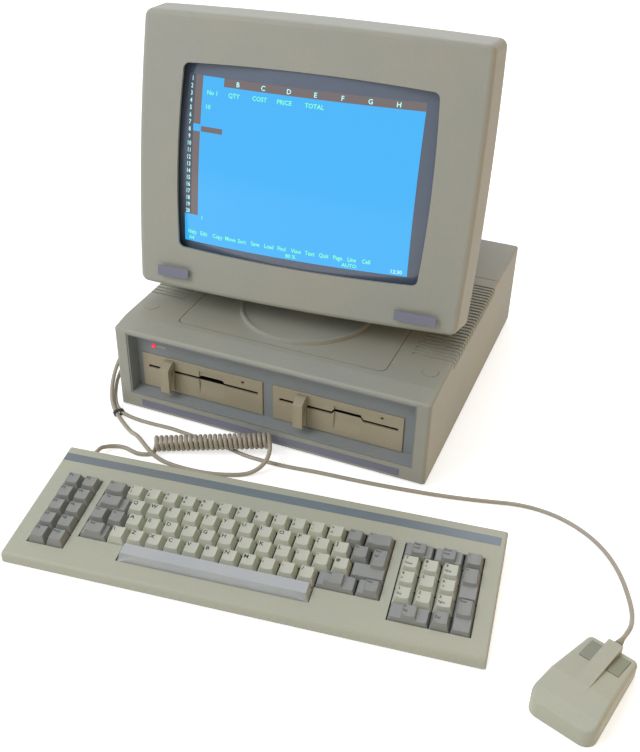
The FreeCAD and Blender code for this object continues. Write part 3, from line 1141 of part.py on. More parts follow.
# The entry key is an L, two rows tall at the right, with a raised upper part
enter_left = val.main_left + 14 * pitch + val.key_gap / 2
enter_inner = enter_left + 0.75 * pitch
enter_right = val.main_left + 15.75 * pitch - val.key_gap / 2
enter_back = val.first_row - row_pitch / 2 - val.key_gap / 2
enter_step = enter_back - row_pitch
enter_front = enter_back - 2 * row_pitch + val.key_gap
enter_wires = []
for high, part in ((-val.cap_low, 0), (val.cap_step, step_share)):
    side = part * val.cap_side
    rear = part * val.cap_rear
    low_edge = enter_front + part * val.cap_front
    corners = [Vector(enter_left + side, low_edge, high), Vector(enter_right - side, low_edge, high),
               Vector(enter_right - side, enter_back - rear, high),
               Vector(enter_inner + side, enter_back - rear, high),
               Vector(enter_inner + side, enter_step - rear, high),
               Vector(enter_left + side, enter_step - rear, high)]
    enter_wires.append(Part.makePolygon(corners + corners[:1]))
enter_top = upper_cap(enter_inner, enter_right, enter_front + 0.6 * row_pitch, enter_back).cut(
    Part.makeCylinder(val.dish_key_radius, 2 * row_pitch, Vector(
        (enter_inner + enter_right) / 2, enter_back - 2 * row_pitch,
        val.cap_top + val.dish_key_radius - val.dish_key_depth), Vector(0, 1, 0)))
STEMS.append(Vector((enter_inner + enter_right) / 2, (enter_front + enter_step) / 2,
                    -val.cap_low - val.stem_length))
enter = loft(enter_wires).fuse([enter_top, Part.makeCylinder(
    val.stem_radius, val.stem_length + val.run_gap, STEMS[-1])])
KEYS["control_keys"].append(enter)
for name, solids in KEYS.items():
    node(name, shape(name, Part.makeCompound(solids)), keyboard_place * deck)

# Board with one switch housing under each stem
board_holes = [Part.makeCylinder(val.stem_radius + val.stem_gap, val.plate_low, Vector(
    place.x, place.y, -val.plate_low - val.overrun)) for place in STEMS]
board_plate = Part.makeBox(
    val.keyboard_width - 2 * val.board_inset, val.board_end - val.board_start,
    val.plate_low - val.plate_top, Vector(val.board_inset, val.board_start, -val.plate_low))
housings = []
for place, hole in zip(STEMS, board_holes):
    housing = Part.makeBox(val.switch_side, val.switch_side, val.plate_top - val.switch_top,
                           Vector(place.x - val.switch_side / 2, place.y - val.switch_side / 2,
                                  -val.plate_top))
    housings.append(housing.cut(hole))
node("keyboard_board", shape("keyboard_board", Part.makeCompound(
    [board_plate.cut(board_holes)] + housings)), keyboard_place * deck)

# Case: sloping shell with a blue strip's seat, and a floor with folding legs
fall = "lip * (deck_back - deck_front) / keyboard_depth"
wedge = prism("keyboard_wedge", "YZ_Plane", [
    ("0 - lip", "keyboard_lift"), ("0 - lip", f"deck_front - {fall}"),
    ("keyboard_depth", "deck_back"), ("keyboard_depth", "keyboard_lift")], "keyboard_width")
wedge_lip = rounded("wedge_lip", wedge, "lip_round",
                    lambda edge: level(edge, "x") and edge.CenterOfMass.y < 0
                    and edge.CenterOfMass.z > val.deck_front / 2)
wedge_round = rounded("wedge_round", wedge_lip, "keyboard_round",
                      lambda edge: edge.BoundBox.ZMax > val.keyboard_lift + val.gap
                      and not (level(edge, "x") and edge.CenterOfMass.y < val.lip_round))
wedge_hollow = prism("wedge_hollow", "YZ_Plane", [
    ("keyboard_wall - lip", "0"), ("keyboard_wall - lip", f"deck_front - {fall} - keyboard_wall"),
    ("keyboard_depth - keyboard_wall", "deck_back - keyboard_wall"),
    ("keyboard_depth - keyboard_wall", "0")], "keyboard_width - 2 * keyboard_wall")
at(wedge_hollow, ("keyboard_wall", "0", "0"))
top_row_back = val.first_row + row_pitch / 2 + val.bay_gap
space_front = val.first_row - 4.5 * row_pitch - val.bay_gap
main_front = space_front + row_pitch
bays = []
for left, right, front in (
        (val.function_left, val.function_left + 2 * pitch, space_front),
        (val.main_left, val.main_left + 15.75 * pitch, main_front),
        (val.main_left + 2.5 * pitch, val.main_left + 12.5 * pitch, space_front),
        (val.pad_left, val.pad_left + 4 * pitch, space_front)):
    bays.append(Part.makeBox(right - left + 2 * val.bay_gap, top_row_back - front,
                             4 * val.keyboard_wall, Vector(left - val.bay_gap, front,
                                                           -3 * val.keyboard_wall)))
key_bays = shape("key_bays", bays[0].fuse(bays[1:]).removeSplitter())
key_bays.Placement = deck
relief_hole = rod("relief_hole", ("gland_x", "keyboard_depth - keyboard_wall - overrun", "gland_z"),
                  "relief_radius - board_thickness + gap", "keyboard_wall + 2 * overrun", along="y")
node("keyboard_top", cut("keyboard_top", wedge_round, [fuse("top_cuts", [
    wedge_hollow, key_bays, relief_hole])]), keyboard_place)

floor_side = val.keyboard_wall + val.gap
floor_plate = Part.makeBox(
    val.keyboard_width - 2 * floor_side, val.keyboard_depth + val.lip - 2 * floor_side,
    val.keyboard_floor, Vector(floor_side, floor_side - val.lip, val.keyboard_lift))
floor_ribs = [Part.makeBox(
    val.keyboard_width - 2 * val.board_inset, val.keyboard_wall, val.deck_back, Vector(
        val.board_inset, y, val.keyboard_lift)) for y in (val.board_start + val.keyboard_wall,
                                                          val.board_end - 6 * val.keyboard_wall)]
over_board = Part.makeBox(2 * val.keyboard_width, 2 * val.keyboard_depth, val.deck_back,
                          Vector(-val.keyboard_wall, -val.keyboard_depth / 2, -val.plate_low))
over_board.Placement = deck * over_board.Placement
floor_ribs = [rib.cut(over_board) for rib in floor_ribs]
leg_lefts = (val.leg_x, val.keyboard_width - val.leg_x - val.leg_width)
leg_front = val.leg_back + val.leg_thickness / 2 - val.leg_length
leg_bays = []
leg_ears = []
leg_bores = []
legs = []
for left in leg_lefts:
    leg_bays.append(Part.makeBox(
        val.leg_width + 2 * val.gap, val.leg_length + 4 * val.gap, val.keyboard_floor * 3,
        Vector(left - val.gap, leg_front - 2 * val.gap, 0)))
    for ear in (left - val.gap - val.leg_ear, left + val.leg_width + val.gap):
        leg_ears.append(Part.makeBox(val.leg_ear, 2 * val.leg_thickness, 1.5 * val.leg_thickness,
                                     Vector(ear, val.leg_back - val.leg_thickness,
                                            val.keyboard_lift)))
    leg_bores.append(Part.makeCylinder(
        val.leg_pin + val.run_gap, val.leg_width + 2 * val.leg_ear + 4 * val.gap,
        Vector(left - val.leg_ear - 2 * val.gap, val.leg_back, val.leg_high), Vector(1, 0, 0)))
    leg = Part.makeBox(val.leg_width, val.leg_length - val.leg_thickness / 2, val.leg_thickness,
                       Vector(left, leg_front, val.leg_high - val.leg_thickness / 2))
    leg_end = Part.makeCylinder(val.leg_thickness / 2, val.leg_width, Vector(
        left, val.leg_back, val.leg_high), Vector(1, 0, 0))
    pin = Part.makeCylinder(val.leg_pin, val.leg_width + 2 * val.leg_ear, Vector(
        left - val.leg_ear, val.leg_back, val.leg_high), Vector(1, 0, 0))
    legs.append(leg.fuse([leg_end, pin]).removeSplitter())
floor_solid = floor_plate.fuse(floor_ribs + leg_ears).cut(leg_bays + leg_bores).removeSplitter()
node("keyboard_base", shape("keyboard_base", floor_solid), keyboard_place)
node("keyboard_legs", shape("keyboard_legs", Part.makeCompound(legs)), keyboard_place)

# Mouse, its own origin is the middle of its plan on the desk, +Y is its front
mouse_place = Placement(Vector(val.mouse_x, val.mouse_y, -val.foot_height),
                        Rotation(Vector(0, 0, 1), val.mouse_deg))
half_length = val.mouse_length / 2


def mouse_side(inset, rise=0.0):
    """The mouse's side view, seen along X, drawn in by inset and lifted by rise."""
    return [(inset - half_length, val.mouse_lift), (inset - half_length, val.mouse_rear_high
                                                    - inset + rise),
            (val.mouse_tail, val.mouse_tail_high - inset + rise),
            (val.mouse_break, val.mouse_top_high - inset + rise),
            (half_length - inset, val.mouse_front_high - inset + rise),
            (half_length - inset, val.mouse_lift)]


def along_x(points, half_width):
    wire = Part.makePolygon([Vector(-half_width, y, z) for y, z in points + points[:1]])
    return Part.Face(wire).extrude(Vector(2 * half_width, 0, 0))


def mouse_plan(inset):
    """The mouse seen from above, as a tall block with round corners, drawn in by inset."""
    rear = val.mouse_rear_half - inset
    front = val.mouse_front_half - inset
    end = half_length - inset
    points = [Vector(-rear, -end, 0), Vector(rear, -end, 0), Vector(front, end, 0),
              Vector(-front, end, 0)]
    solid = Part.Face(Part.makePolygon(points + points[:1])).extrude(
        Vector(0, 0, 2 * val.mouse_top_high))
    for corner, wanted in ((val.mouse_rear_corner, -1), (val.mouse_front_corner, 1)):
        solid = solid.makeFillet(corner - inset, [
            edge for edge in solid.Edges if upright(edge)
            and wanted * edge.CenterOfMass.y > half_length / 2])
    return solid


body_block = along_x(mouse_side(0), 2 * val.mouse_rear_half)
tail_slope = (val.mouse_top_high - val.mouse_tail_high) / (val.mouse_break - val.mouse_tail)
spine_z = val.mouse_top_high + tail_slope * (val.spine_back - val.mouse_break)
spine = along_x([(val.spine_back, val.mouse_lift), (val.spine_back, spine_z - val.run_gap),
                 (val.mouse_break, val.mouse_top_high + val.spine_rise),
                 (half_length, val.spine_front_high), (half_length, val.mouse_lift)],
                val.spine_half)
mouse_block = body_block.common(mouse_plan(0))
shoulder = [edge for edge in mouse_block.Edges
            if edge.CenterOfMass.z > val.mouse_lift + val.mouse_round and not upright(edge)
            and not (level(edge, "x") and abs(edge.CenterOfMass.y) < half_length - val.gap)]
mouse_block = mouse_block.makeFillet(val.mouse_round, shoulder)
mouse_hollow = along_x(mouse_side(val.mouse_wall), 2 * val.mouse_rear_half).common(
    mouse_plan(val.mouse_wall))
mouse_hollow.translate(Vector(0, 0, -val.overrun))
pockets = []
buttons = []
raised_block = along_x(mouse_side(0, val.mouse_button_proud), 2 * val.mouse_rear_half)
lowered_block = along_x(mouse_side(0, -val.mouse_wall - val.mouse_button_travel),
                        2 * val.mouse_rear_half)
for side in (-1, 1):
    left = side * val.mouse_button_x - val.mouse_button_width / 2
    front = val.mouse_button_y - val.mouse_button_length / 2
    pockets.append(Part.makeBox(
        val.mouse_button_width + 2 * val.gap, val.mouse_button_length + 2 * val.gap,
        val.mouse_top_high, Vector(left - val.gap, front - val.gap, val.mouse_lift
                                   + 2 * val.mouse_wall)))
    button = Part.makeBox(val.mouse_button_width, val.mouse_button_length, val.mouse_top_high,
                          Vector(left, front, val.mouse_lift))
    buttons.append(button.common(raised_block).cut(lowered_block))
mouse_hole = Part.makeCylinder(
    val.mouse_relief_radius - val.board_thickness + val.gap, 2 * val.mouse_wall + val.overrun,
    Vector(0, half_length - 2 * val.mouse_wall, val.mouse_relief_z), Vector(0, 1, 0))
mouse_top = mouse_block.fuse(spine).removeSplitter().cut(
    [mouse_hollow, mouse_hole] + pockets)
node("mouse_top", shape("mouse_top", mouse_top), mouse_place)
node("mouse_left_button", shape("mouse_left_button", buttons[0]), mouse_place)
node("mouse_right_button", shape("mouse_right_button", buttons[1]), mouse_place)

base_plan = mouse_plan(val.mouse_wall + val.gap).common(Part.makeBox(
    2 * val.mouse_length, 2 * val.mouse_length, val.mouse_wall,
    Vector(-val.mouse_length, -val.mouse_length, val.mouse_lift)))
ball_middle = Vector(0, val.ball_y, val.ball_radius)
roller_y = val.ball_y - val.ball_radius - val.roller_radius - val.roller_gap
cage = Part.makeCylinder(val.ring_radius, val.cage_height, Vector(0, val.ball_y, val.mouse_lift))
cage = cage.cut([
    Part.makeCylinder(val.ball_radius + val.gap, val.mouse_top_high, Vector(0, val.ball_y, 0)),
    Part.makeBox(2 * val.ring_radius, val.ring_radius, val.mouse_top_high, Vector(
        -val.ring_radius, roller_y + 2 * val.roller_radius - val.ring_radius,
        val.mouse_lift + val.mouse_wall))])
roller_posts = [Part.makeBox(
    val.roller_post, val.roller_post, val.ball_radius + val.roller_radius - val.mouse_lift,
    Vector(x, roller_y - val.roller_post / 2, val.mouse_lift))
    for x in (-val.roller_length / 2 - val.gap - val.roller_post, val.roller_length / 2 + val.gap)]
roller_line = Vector(-val.roller_length, roller_y, val.ball_radius)
roller_bore = Part.makeCylinder(val.roller_shaft + val.run_gap, 2 * val.roller_length, roller_line,
                                Vector(1, 0, 0))
ring_seat = Part.makeCylinder(val.ring_radius - val.mouse_wall + val.gap, val.ring_thickness
                              + val.overrun, Vector(0, val.ball_y, val.mouse_lift - val.overrun))
ball_hole = Part.makeCylinder(val.ball_radius + val.gap, val.mouse_top_high,
                              Vector(0, val.ball_y, 0))
mouse_base = base_plan.fuse([cage] + roller_posts).cut([roller_bore, ring_seat, ball_hole])
node("mouse_base", shape("mouse_base", mouse_base.removeSplitter()), mouse_place)
ball_ring = Part.makeCylinder(val.ring_radius - val.mouse_wall, val.ring_thickness, Vector(
    0, val.ball_y, val.mouse_lift)).cut(Part.makeCylinder(
        val.ring_hole, 2 * val.ring_thickness, Vector(0, val.ball_y, 0)))
node("ball_ring", shape("ball_ring", ball_ring), mouse_place)
node("mouse_ball", shape("mouse_ball", Part.makeSphere(val.ball_radius, ball_middle)), mouse_place)
roller = Part.makeCylinder(val.roller_radius, val.roller_length, Vector(
    -val.roller_length / 2, roller_y, val.ball_radius), Vector(1, 0, 0))
axle = Part.makeCylinder(val.roller_shaft, val.roller_length + 2 * val.roller_post + 2 * val.gap,
                         Vector(-val.roller_length / 2 - val.roller_post - val.gap, roller_y,
                                val.ball_radius), Vector(1, 0, 0))
node("mouse_roller", shape("mouse_roller", roller.fuse(axle).removeSplitter()), mouse_place)

# Rubber feet of the unit, the keyboard and the mouse
unit_feet = [Part.makeCylinder(val.foot_radius, val.foot_height + val.gap, Vector(
    x, y, -val.foot_height)) for x in (val.foot_inset, val.unit_width - val.foot_inset)
    for y in (val.foot_inset, val.unit_depth - val.foot_inset)]
keyboard_feet = [Part.makeCylinder(val.pad_radius, val.keyboard_lift, Vector(x, y, 0))
                 for x in (2.5 * val.pad_radius, val.keyboard_width - 2.5 * val.pad_radius)
                 for y in (val.pad_radius, val.keyboard_depth - 3 * val.pad_radius)]
mouse_feet = [Part.makeCylinder(val.pad_radius / 2, val.mouse_lift, Vector(x, y, 0))
              for x in (-2.5 * val.pad_radius, 2.5 * val.pad_radius)
              for y in (-half_length + 1.5 * val.pad_radius, half_length - 1.5 * val.pad_radius)]
for place, pads in ((keyboard_place, keyboard_feet), (mouse_place, mouse_feet)):
    for pad_solid in pads:
        pad_solid.Placement = place * pad_solid.Placement
node("rubber_feet", shape("rubber_feet", Part.makeCompound(
    unit_feet + keyboard_feet + mouse_feet)))


# Cords: straight runs joined by tangent arcs, heights are over the desk
def route(points, radius):
    """Points in this file's frame; two numbers mean that the cord lies on the desk there."""
    lying = radius + val.desk_gap
    unit = val.route_unit
    return [Vector(point[0] * unit, point[1] * unit,
                   (point[2] * unit if len(point) == 3 else lying) - val.foot_height)
            for point in points]


def cord_path(points):
    """The wire through a route and the radii of its arcs."""
    edges = []
    radii = []
    begin = points[0]
    for before, corner, after in zip(points, points[1:], points[2:]):
        way_in = corner - before
        way_out = after - corner
        reach = val.arc_share * min(way_in.Length, way_out.Length)
        turn = way_in.getAngle(way_out)
        radius = reach / math.tan(turn / 2)
        way_in.normalize()
        way_out.normalize()
        first = corner - way_in * reach
        last = corner + way_out * reach
        inward = (way_out - way_in).normalize()
        middle = corner + inward * (radius / math.cos(turn / 2) - radius)
        edges.append(Part.makeLine(begin, first))
        edges.append(Part.Arc(first, middle, last).toShape())
        radii.append(radius)
        begin = last
    edges.append(Part.makeLine(begin, points[-1]))
    return Part.Wire(edges), radii


def tube(name, wire, radius):
    """One tube round a wire, checked against its section times its length."""
    start = wire.Edges[0].Vertexes[0].Point
    heading = wire.Edges[0].tangentAt(wire.Edges[0].FirstParameter)
    section = Part.Wire(Part.makeCircle(radius, start, heading))
    made = wire.makePipeShell([section], True, False)
    wanted = math.pi * radius ** 2 * wire.Length
    print(name, "length", round(wire.Length, 1), "volume share", round(made.Volume / wanted, 4))
    return made


def cord(name, points, radius):
    wire, radii = cord_path(points)
    print(name, "radii", [round(value, 1) for value in radii])
    return node(name, shape(name, tube(name, wire, radius)))


def arc_edge(start, heading, end):
    """An arc that leaves start along heading and reaches end, and its heading there."""
    chord = end - start
    side = chord - heading * chord.dot(heading)
    bulge = side.Length
    side.normalize()
    radius = chord.dot(chord) / (2 * bulge)
    half_turn = math.atan2(bulge, chord.dot(heading))
    centre = start + side * radius
    middle = centre + (heading * math.sin(half_turn) - side * math.cos(half_turn)) * radius
    leaving = heading * math.cos(2 * half_turn) + side * math.sin(2 * half_turn)
    return Part.Arc(start, middle, end).toShape(), leaving


def biarc(start, heading, end, end_heading):
    """Two tangent arcs between two points with given headings."""
    chord = end - start
    both = heading + end_heading
    across = chord.dot(both)
    spare = 2 * (1 - heading.dot(end_heading))
    reach = (math.sqrt(across ** 2 + spare * chord.dot(chord)) - across) / spare
    joint = (start + end + (heading - end_heading) * reach) * 0.5
    first, leaving = arc_edge(start, heading, joint)
    second, leaving = arc_edge(joint, leaving, end)
    return [first, second]


# The curls wind round a line that rises to the right, over the mouse's cord
coil_line = route([(79.0, -59.0, 9.45), (195.0, -12.0, 16.4)], val.lead_radius)
coil_way = (coil_line[1] - coil_line[0]).normalize()
level_way = Vector(coil_way.x, coil_way.y, 0).normalize()
coil_side = Vector(-level_way.y, level_way.x, 0)
coil_up = coil_way.cross(coil_side)
curl = val.curl_radius
climb = val.curl_pitch / (2 * math.pi)


def on_curl(turn):
    """A point of the curls and the heading there, turn in radians from the bottom."""
    out = coil_side * math.sin(turn) - coil_up * math.cos(turn)
    heading = coil_way * climb + (coil_side * math.cos(turn) + coil_up * math.sin(turn)) * curl
    return coil_line[0] + coil_way * (climb * turn) + out * curl, heading.normalize()


quarter = math.pi / 2
first_point, first_heading = on_curl(0)
straight = 2 * val.lead_radius
lead_in = first_point - first_heading * straight
coil_start = lead_in - (first_heading + level_way) * (
    curl * math.tan(first_heading.getAngle(level_way) / 2))
coil_edges = [arc_edge(coil_start, level_way, lead_in)[0], Part.makeLine(lead_in, first_point)]
quarters = int(val.curl_turns * 4) + 2
for index in range(quarters):
    here, here_heading = on_curl(index * quarter)
    there, there_heading = on_curl((index + 1) * quarter)
    coil_edges += biarc(here, here_heading, there, there_heading)
last_point, last_heading = on_curl(quarters * quarter)
coil_end = last_point + last_heading * straight
coil_edges.append(Part.makeLine(last_point, coil_end))
coil_wire = Part.Wire(coil_edges)
samples = [on_curl(index * quarter / 12)[0] for index in range(quarters * 12)]
gap_to_self = min((samples[index] - samples[index + 48 + step]).Length
                  for index in range(len(samples) - 60) for step in range(-6, 7))
print("curls", quarters / 4, "least gap to itself", round(gap_to_self - 2 * val.lead_radius, 2))
node("keyboard_coil", shape("keyboard_coil", tube("keyboard_coil", coil_wire, val.lead_radius)))

relief_end = val.keyboard_depth + val.relief_length
lead_start = keyboard_place.multVec(Vector(val.gland_x, relief_end, val.gland_z))
lead_out = keyboard_place.multVec(Vector(val.gland_x, relief_end + val.lead_run, val.gland_z))
cord("keyboard_lead", [lead_start, lead_out] + route([
    (29.6, -81.4, 5.6), (36.2, -73.6, 3.1), (46.6, -70.6), (57.2, -73.2)], val.lead_radius)
    + [coil_start - level_way * (val.lead_run - val.relief_play), coil_start], val.lead_radius)
cord("keyboard_tail", [coil_end, coil_end + last_heading * val.tail_run] + route([
    (206.5, -31.5, 19.5), (206.5, -41, 13), (201, -50, 6.5), (191, -58.5), (174, -67),
    (153, -73.5), (130, -76.3), (108, -76.4), (93, -75.6, 4.5), (82, -73.6, 9.5),
    (71.5, -68.5, 12.8), (60.5, -60.6, 12.8), (50, -52.4, 9.0), (40.5, -45), (29.5, -38.2),
    (17.5, -30, 2.8), (6.5, -21.8, 4.1), (-2.2, -14.6, 6.4), (-9.0, -6.5, 13), (-13.2, 3.5, 23.5),
    (-16.5, 17, 34), (-18.5, 34, 42.5), (-19.3, 54, 49), (-19.3, 76, 53.4), (-19.3, 100, 55.6),
    (-19.3, 122, 56), (-19.3, 146, 56)],
    val.lead_radius), val.lead_radius)
mouse_end = half_length + val.mouse_relief_length
mouse_start = mouse_place.multVec(Vector(0, mouse_end, val.mouse_relief_z))
mouse_out = mouse_place.multVec(Vector(0, mouse_end + val.tail_run, val.mouse_relief_z))
cord("mouse_cord", [mouse_start, mouse_out] + route([
    (602.4, -119.2, 10.2), (602.8, -106.5, 6.6), (600.8, -90, 3.2), (594, -69), (582.5, -44),
    (565, -20), (541, -1), (510, 11.5), (474, 13.5), (434, 2), (392, -7.5), (346, -14.8),
    (300, -20.5), (258, -24), (226, -29), (196, -30.5), (174, -30), (157, -26.4), (137, -23.2),
    (114, -22.8), (95, -21.3), (77, -19.6), (57, -20.9), (37, -21.0), (22.5, -19.8, 2.7),
    (10.0, -17.6, 4.1), (0.4, -10.6, 5.0), (-6.3, -2.8, 9.4), (-10.8, 6.3, 16.0),
    (-14, 17, 23.5), (-15.6, 32, 29.8), (-15.2, 50, 34.4), (-13.6, 70, 37.2), (-12.3, 91, 38),
    (-12.3, 101, 38)], val.mouse_cord_radius), val.mouse_cord_radius)

# Reliefs where the cords leave the keyboard and the mouse
keyboard_relief = Part.makeCone(
    val.relief_radius, val.lead_radius + val.run_gap, val.relief_length, Vector(
        val.gland_x, val.keyboard_depth, val.gland_z), Vector(0, 1, 0))
keyboard_neck = Part.makeCylinder(
    val.relief_radius - val.board_thickness, 2 * val.keyboard_wall, Vector(
        val.gland_x, val.keyboard_depth - 2 * val.keyboard_wall, val.gland_z), Vector(0, 1, 0))
keyboard_flange = Part.makeCylinder(
    val.relief_radius, val.keyboard_wall, Vector(
        val.gland_x, val.keyboard_depth - 2 * val.keyboard_wall, val.gland_z), Vector(0, 1, 0))
mouse_relief = Part.makeCone(
    val.mouse_relief_radius, val.mouse_cord_radius + val.run_gap, val.mouse_relief_length,
    Vector(0, half_length, val.mouse_relief_z), Vector(0, 1, 0))
for ring_index in range(int(val.relief_rings)):
    groove = val.mouse_relief_length * (ring_index + 0.5) / val.relief_rings
    outer = Part.makeCylinder(val.mouse_relief_radius * 2, val.groove_width, Vector(
        0, half_length + groove, val.mouse_relief_z), Vector(0, 1, 0))
    inner = Part.makeCylinder(val.mouse_cord_radius + val.groove_wall, val.groove_width, Vector(
        0, half_length + groove, val.mouse_relief_z), Vector(0, 1, 0))
    mouse_relief = mouse_relief.cut(outer.cut(inner))
mouse_neck = Part.makeCylinder(
    val.mouse_relief_radius - val.board_thickness, 2 * val.mouse_wall, Vector(
        0, half_length - 2 * val.mouse_wall, val.mouse_relief_z), Vector(0, 1, 0))
mouse_flange = Part.makeCylinder(
    val.mouse_relief_radius, val.mouse_wall, Vector(
        0, half_length - 2 * val.mouse_wall, val.mouse_relief_z), Vector(0, 1, 0)).common(
            Part.makeBox(2 * val.mouse_relief_radius, 2 * val.mouse_wall,
                         val.mouse_front_high - val.mouse_wall - val.overrun - val.gap,
                         Vector(-val.mouse_relief_radius, half_length - 2 * val.mouse_wall, 0)))
keyboard_relief = keyboard_relief.fuse([keyboard_neck, keyboard_flange]).removeSplitter()
keyboard_relief.Placement = keyboard_place
mouse_relief = mouse_relief.fuse([mouse_neck, mouse_flange]).removeSplitter()
mouse_relief.Placement = mouse_place
node("strain_reliefs", shape("strain_reliefs", Part.makeCompound([keyboard_relief, mouse_relief])))

# Elbow plugs in the sockets of the unit's left side, and the tie round both cords
node("keyboard_plug", fuse("keyboard_plug", [
    cone("keyboard_plug_tail", ("plug_radius - gap - plug_length",
                                "side_socket_back - plug_radius - plug_tail",
                                "side_socket_high"), "plug_tail_radius", "plug_radius * 0.7",
         "plug_radius + plug_tail", along="y"),
    rod("keyboard_plug_body", ("0 - gap - plug_length", "side_socket_back", "side_socket_high"),
        "plug_radius", "plug_length", along="x"),
    rod("keyboard_plug_tip", ("0 - gap - overrun", "side_socket_back", "side_socket_high"),
        "plug_tip_radius", "plug_tip + overrun", along="x")]))
node("mouse_plug", fuse("mouse_plug", [
    cone("mouse_plug_relief", ("0 - gap - mouse_plug_length / 2",
                               "mouse_socket_back - mouse_plug_width / 2 - mouse_plug_tail",
                               "mouse_socket_high"),
         "mouse_cord_radius + groove_wall", "plug_radius * 0.7", "mouse_plug_tail + overrun",
         along="y"),
    block("mouse_plug_body", ("0 - gap - mouse_plug_length",
                              "mouse_socket_back - mouse_plug_width / 2",
                              "mouse_socket_high - mouse_plug_height / 2"),
          ("mouse_plug_length", "mouse_plug_width", "mouse_plug_height")),
    block("mouse_plug_tip", ("0 - gap - overrun",
                             "mouse_socket_back - side_dsub / 2 + board_thickness + gap",
                             "mouse_socket_high - dsub_height / 2 + board_thickness + gap"),
          ("plug_tip + overrun", "side_dsub - 2 * board_thickness - 2 * gap",
           "dsub_height - 2 * board_thickness - 2 * gap"))]))
tie_points = route([(6.5, -21.8, 4.1), (10.0, -17.6, 4.1)], val.lead_radius)
tie_width = (tie_points[1] - tie_points[0]).Length
tie_turn = math.degrees(math.atan2(tie_points[1].y - tie_points[0].y,
                                   tie_points[1].x - tie_points[0].x)) - 90


def band(radius, length):
    """Two rods side by side with the space between them filled."""
    rods = [Part.makeCylinder(radius, length, Vector(-length / 2, y, 0), Vector(1, 0, 0))
            for y in (0, tie_width)]
    return rods[0].fuse([rods[1], Part.makeBox(length, tie_width, 2 * radius,
                                               Vector(-length / 2, 0, -radius))])


tie_inside = val.lead_radius + val.gap
tie = band(tie_inside + val.tie_thickness, val.tie_length).cut(band(tie_inside, 2 * val.tie_length))
node("cord_tie", shape("cord_tie", tie.removeSplitter()),
     Placement(tie_points[0], Rotation(Vector(0, 0, 1), tie_turn)))

# The whole part moves so that its base is centred on the origin, cords left out
doc.recompute()
bounds = FreeCAD.BoundBox()
for item in NODES:
    if item.Label not in CORD_NODES:
        bounds.add(item.Shape.BoundBox)
shift = Vector(-bounds.Center.x, -bounds.Center.y, -bounds.ZMin)
for item in NODES:
    item.Placement = Placement(shift, Rotation()) * item.Placement
doc.recompute()

# Checks and export
for item in doc.Objects:
    if "Invalid" in item.State or "Error" in item.State:
        raise ValueError(item.Name + " failed to recompute")
os.makedirs("parts", exist_ok=True)
for item in NODES:
    if item.Shape.isNull() or not item.Shape.isValid():
        raise ValueError(item.Label + " has no valid shape")
    item.Shape.exportStep(f"parts/{item.Label}.step")
print(len(NODES), "sub-parts, frame moved by", [round(value, 3) for value in shift])
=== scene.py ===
# %% [markdown]
# A home computer of the late nineteen eighties: a flat system unit with two
# disk drives, a colour monitor on a tilting foot, a keyboard on a curly cord
# and a mouse. The solids come from the CAD model, which is packed as a frame.
# This lesson dresses them: cords, finishes, legends and the lit screen.

# %% Load the frame
import math
import bpy
from mathutils import Matrix, Vector


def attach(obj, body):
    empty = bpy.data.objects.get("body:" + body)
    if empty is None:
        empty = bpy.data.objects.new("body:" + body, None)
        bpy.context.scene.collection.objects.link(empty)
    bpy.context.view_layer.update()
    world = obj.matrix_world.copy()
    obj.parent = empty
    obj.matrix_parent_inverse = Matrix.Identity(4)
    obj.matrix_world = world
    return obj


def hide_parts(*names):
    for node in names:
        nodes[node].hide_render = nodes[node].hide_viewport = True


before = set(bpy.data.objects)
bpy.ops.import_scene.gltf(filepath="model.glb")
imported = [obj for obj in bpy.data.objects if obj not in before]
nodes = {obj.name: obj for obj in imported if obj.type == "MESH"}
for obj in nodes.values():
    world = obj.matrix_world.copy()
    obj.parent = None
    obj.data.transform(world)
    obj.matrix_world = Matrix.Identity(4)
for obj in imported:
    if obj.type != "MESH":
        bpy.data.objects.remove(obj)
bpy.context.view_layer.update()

# %% [markdown]
# The solids were drawn in millimetres from the front left corner of the
# unit's case. One function brings such a point into the frame, in metres.

# %% Places
SHIFT = Vector((-305.374, -94.138, 4.0))
FOOT = 4.0
DECK_DEPTH, DECK_FRONT, DECK_BACK = 150.5, 12.2, 26.1
MOUSE_FRONT = 49.0
CASE_TOP, FOOT_RISE = 107.15, 47.35


def place(x, y, z, turn=0.0):
    """A matrix in the frame for a spot in the unit's millimetres, turned about the vertical."""
    spot = (Vector((x, y, z)) + SHIFT) / 1000
    return Matrix.Translation(spot) @ Matrix.Rotation(math.radians(turn), 4, "Z")


def shifted(x, y, z):
    """A move within a placed piece, in millimetres."""
    return Matrix.Translation(Vector((x, y, z)) / 1000)


keyboard = place(29.38, -265.44, -FOOT, 7.24)
deck = keyboard @ shifted(0, 0, DECK_FRONT) @ Matrix.Rotation(
    math.atan2(DECK_BACK - DECK_FRONT, DECK_DEPTH), 4, "X")
mouse = place(577.4, -198.8, -FOOT, -18.2)
tilt = place(186, 120, 0, 4.48) @ shifted(0, 20, CASE_TOP + FOOT_RISE) @ Matrix.Rotation(
    math.radians(-11.7), 4, "X")
face = tilt @ shifted(0, -80.4, -27.8)
print("monitor face's lower edge", face.translation)

# %% [markdown]
# A picture taken with a normal lens from the sitter's right and above. The
# camera's angles and place were worked out from the unit's straight edges.

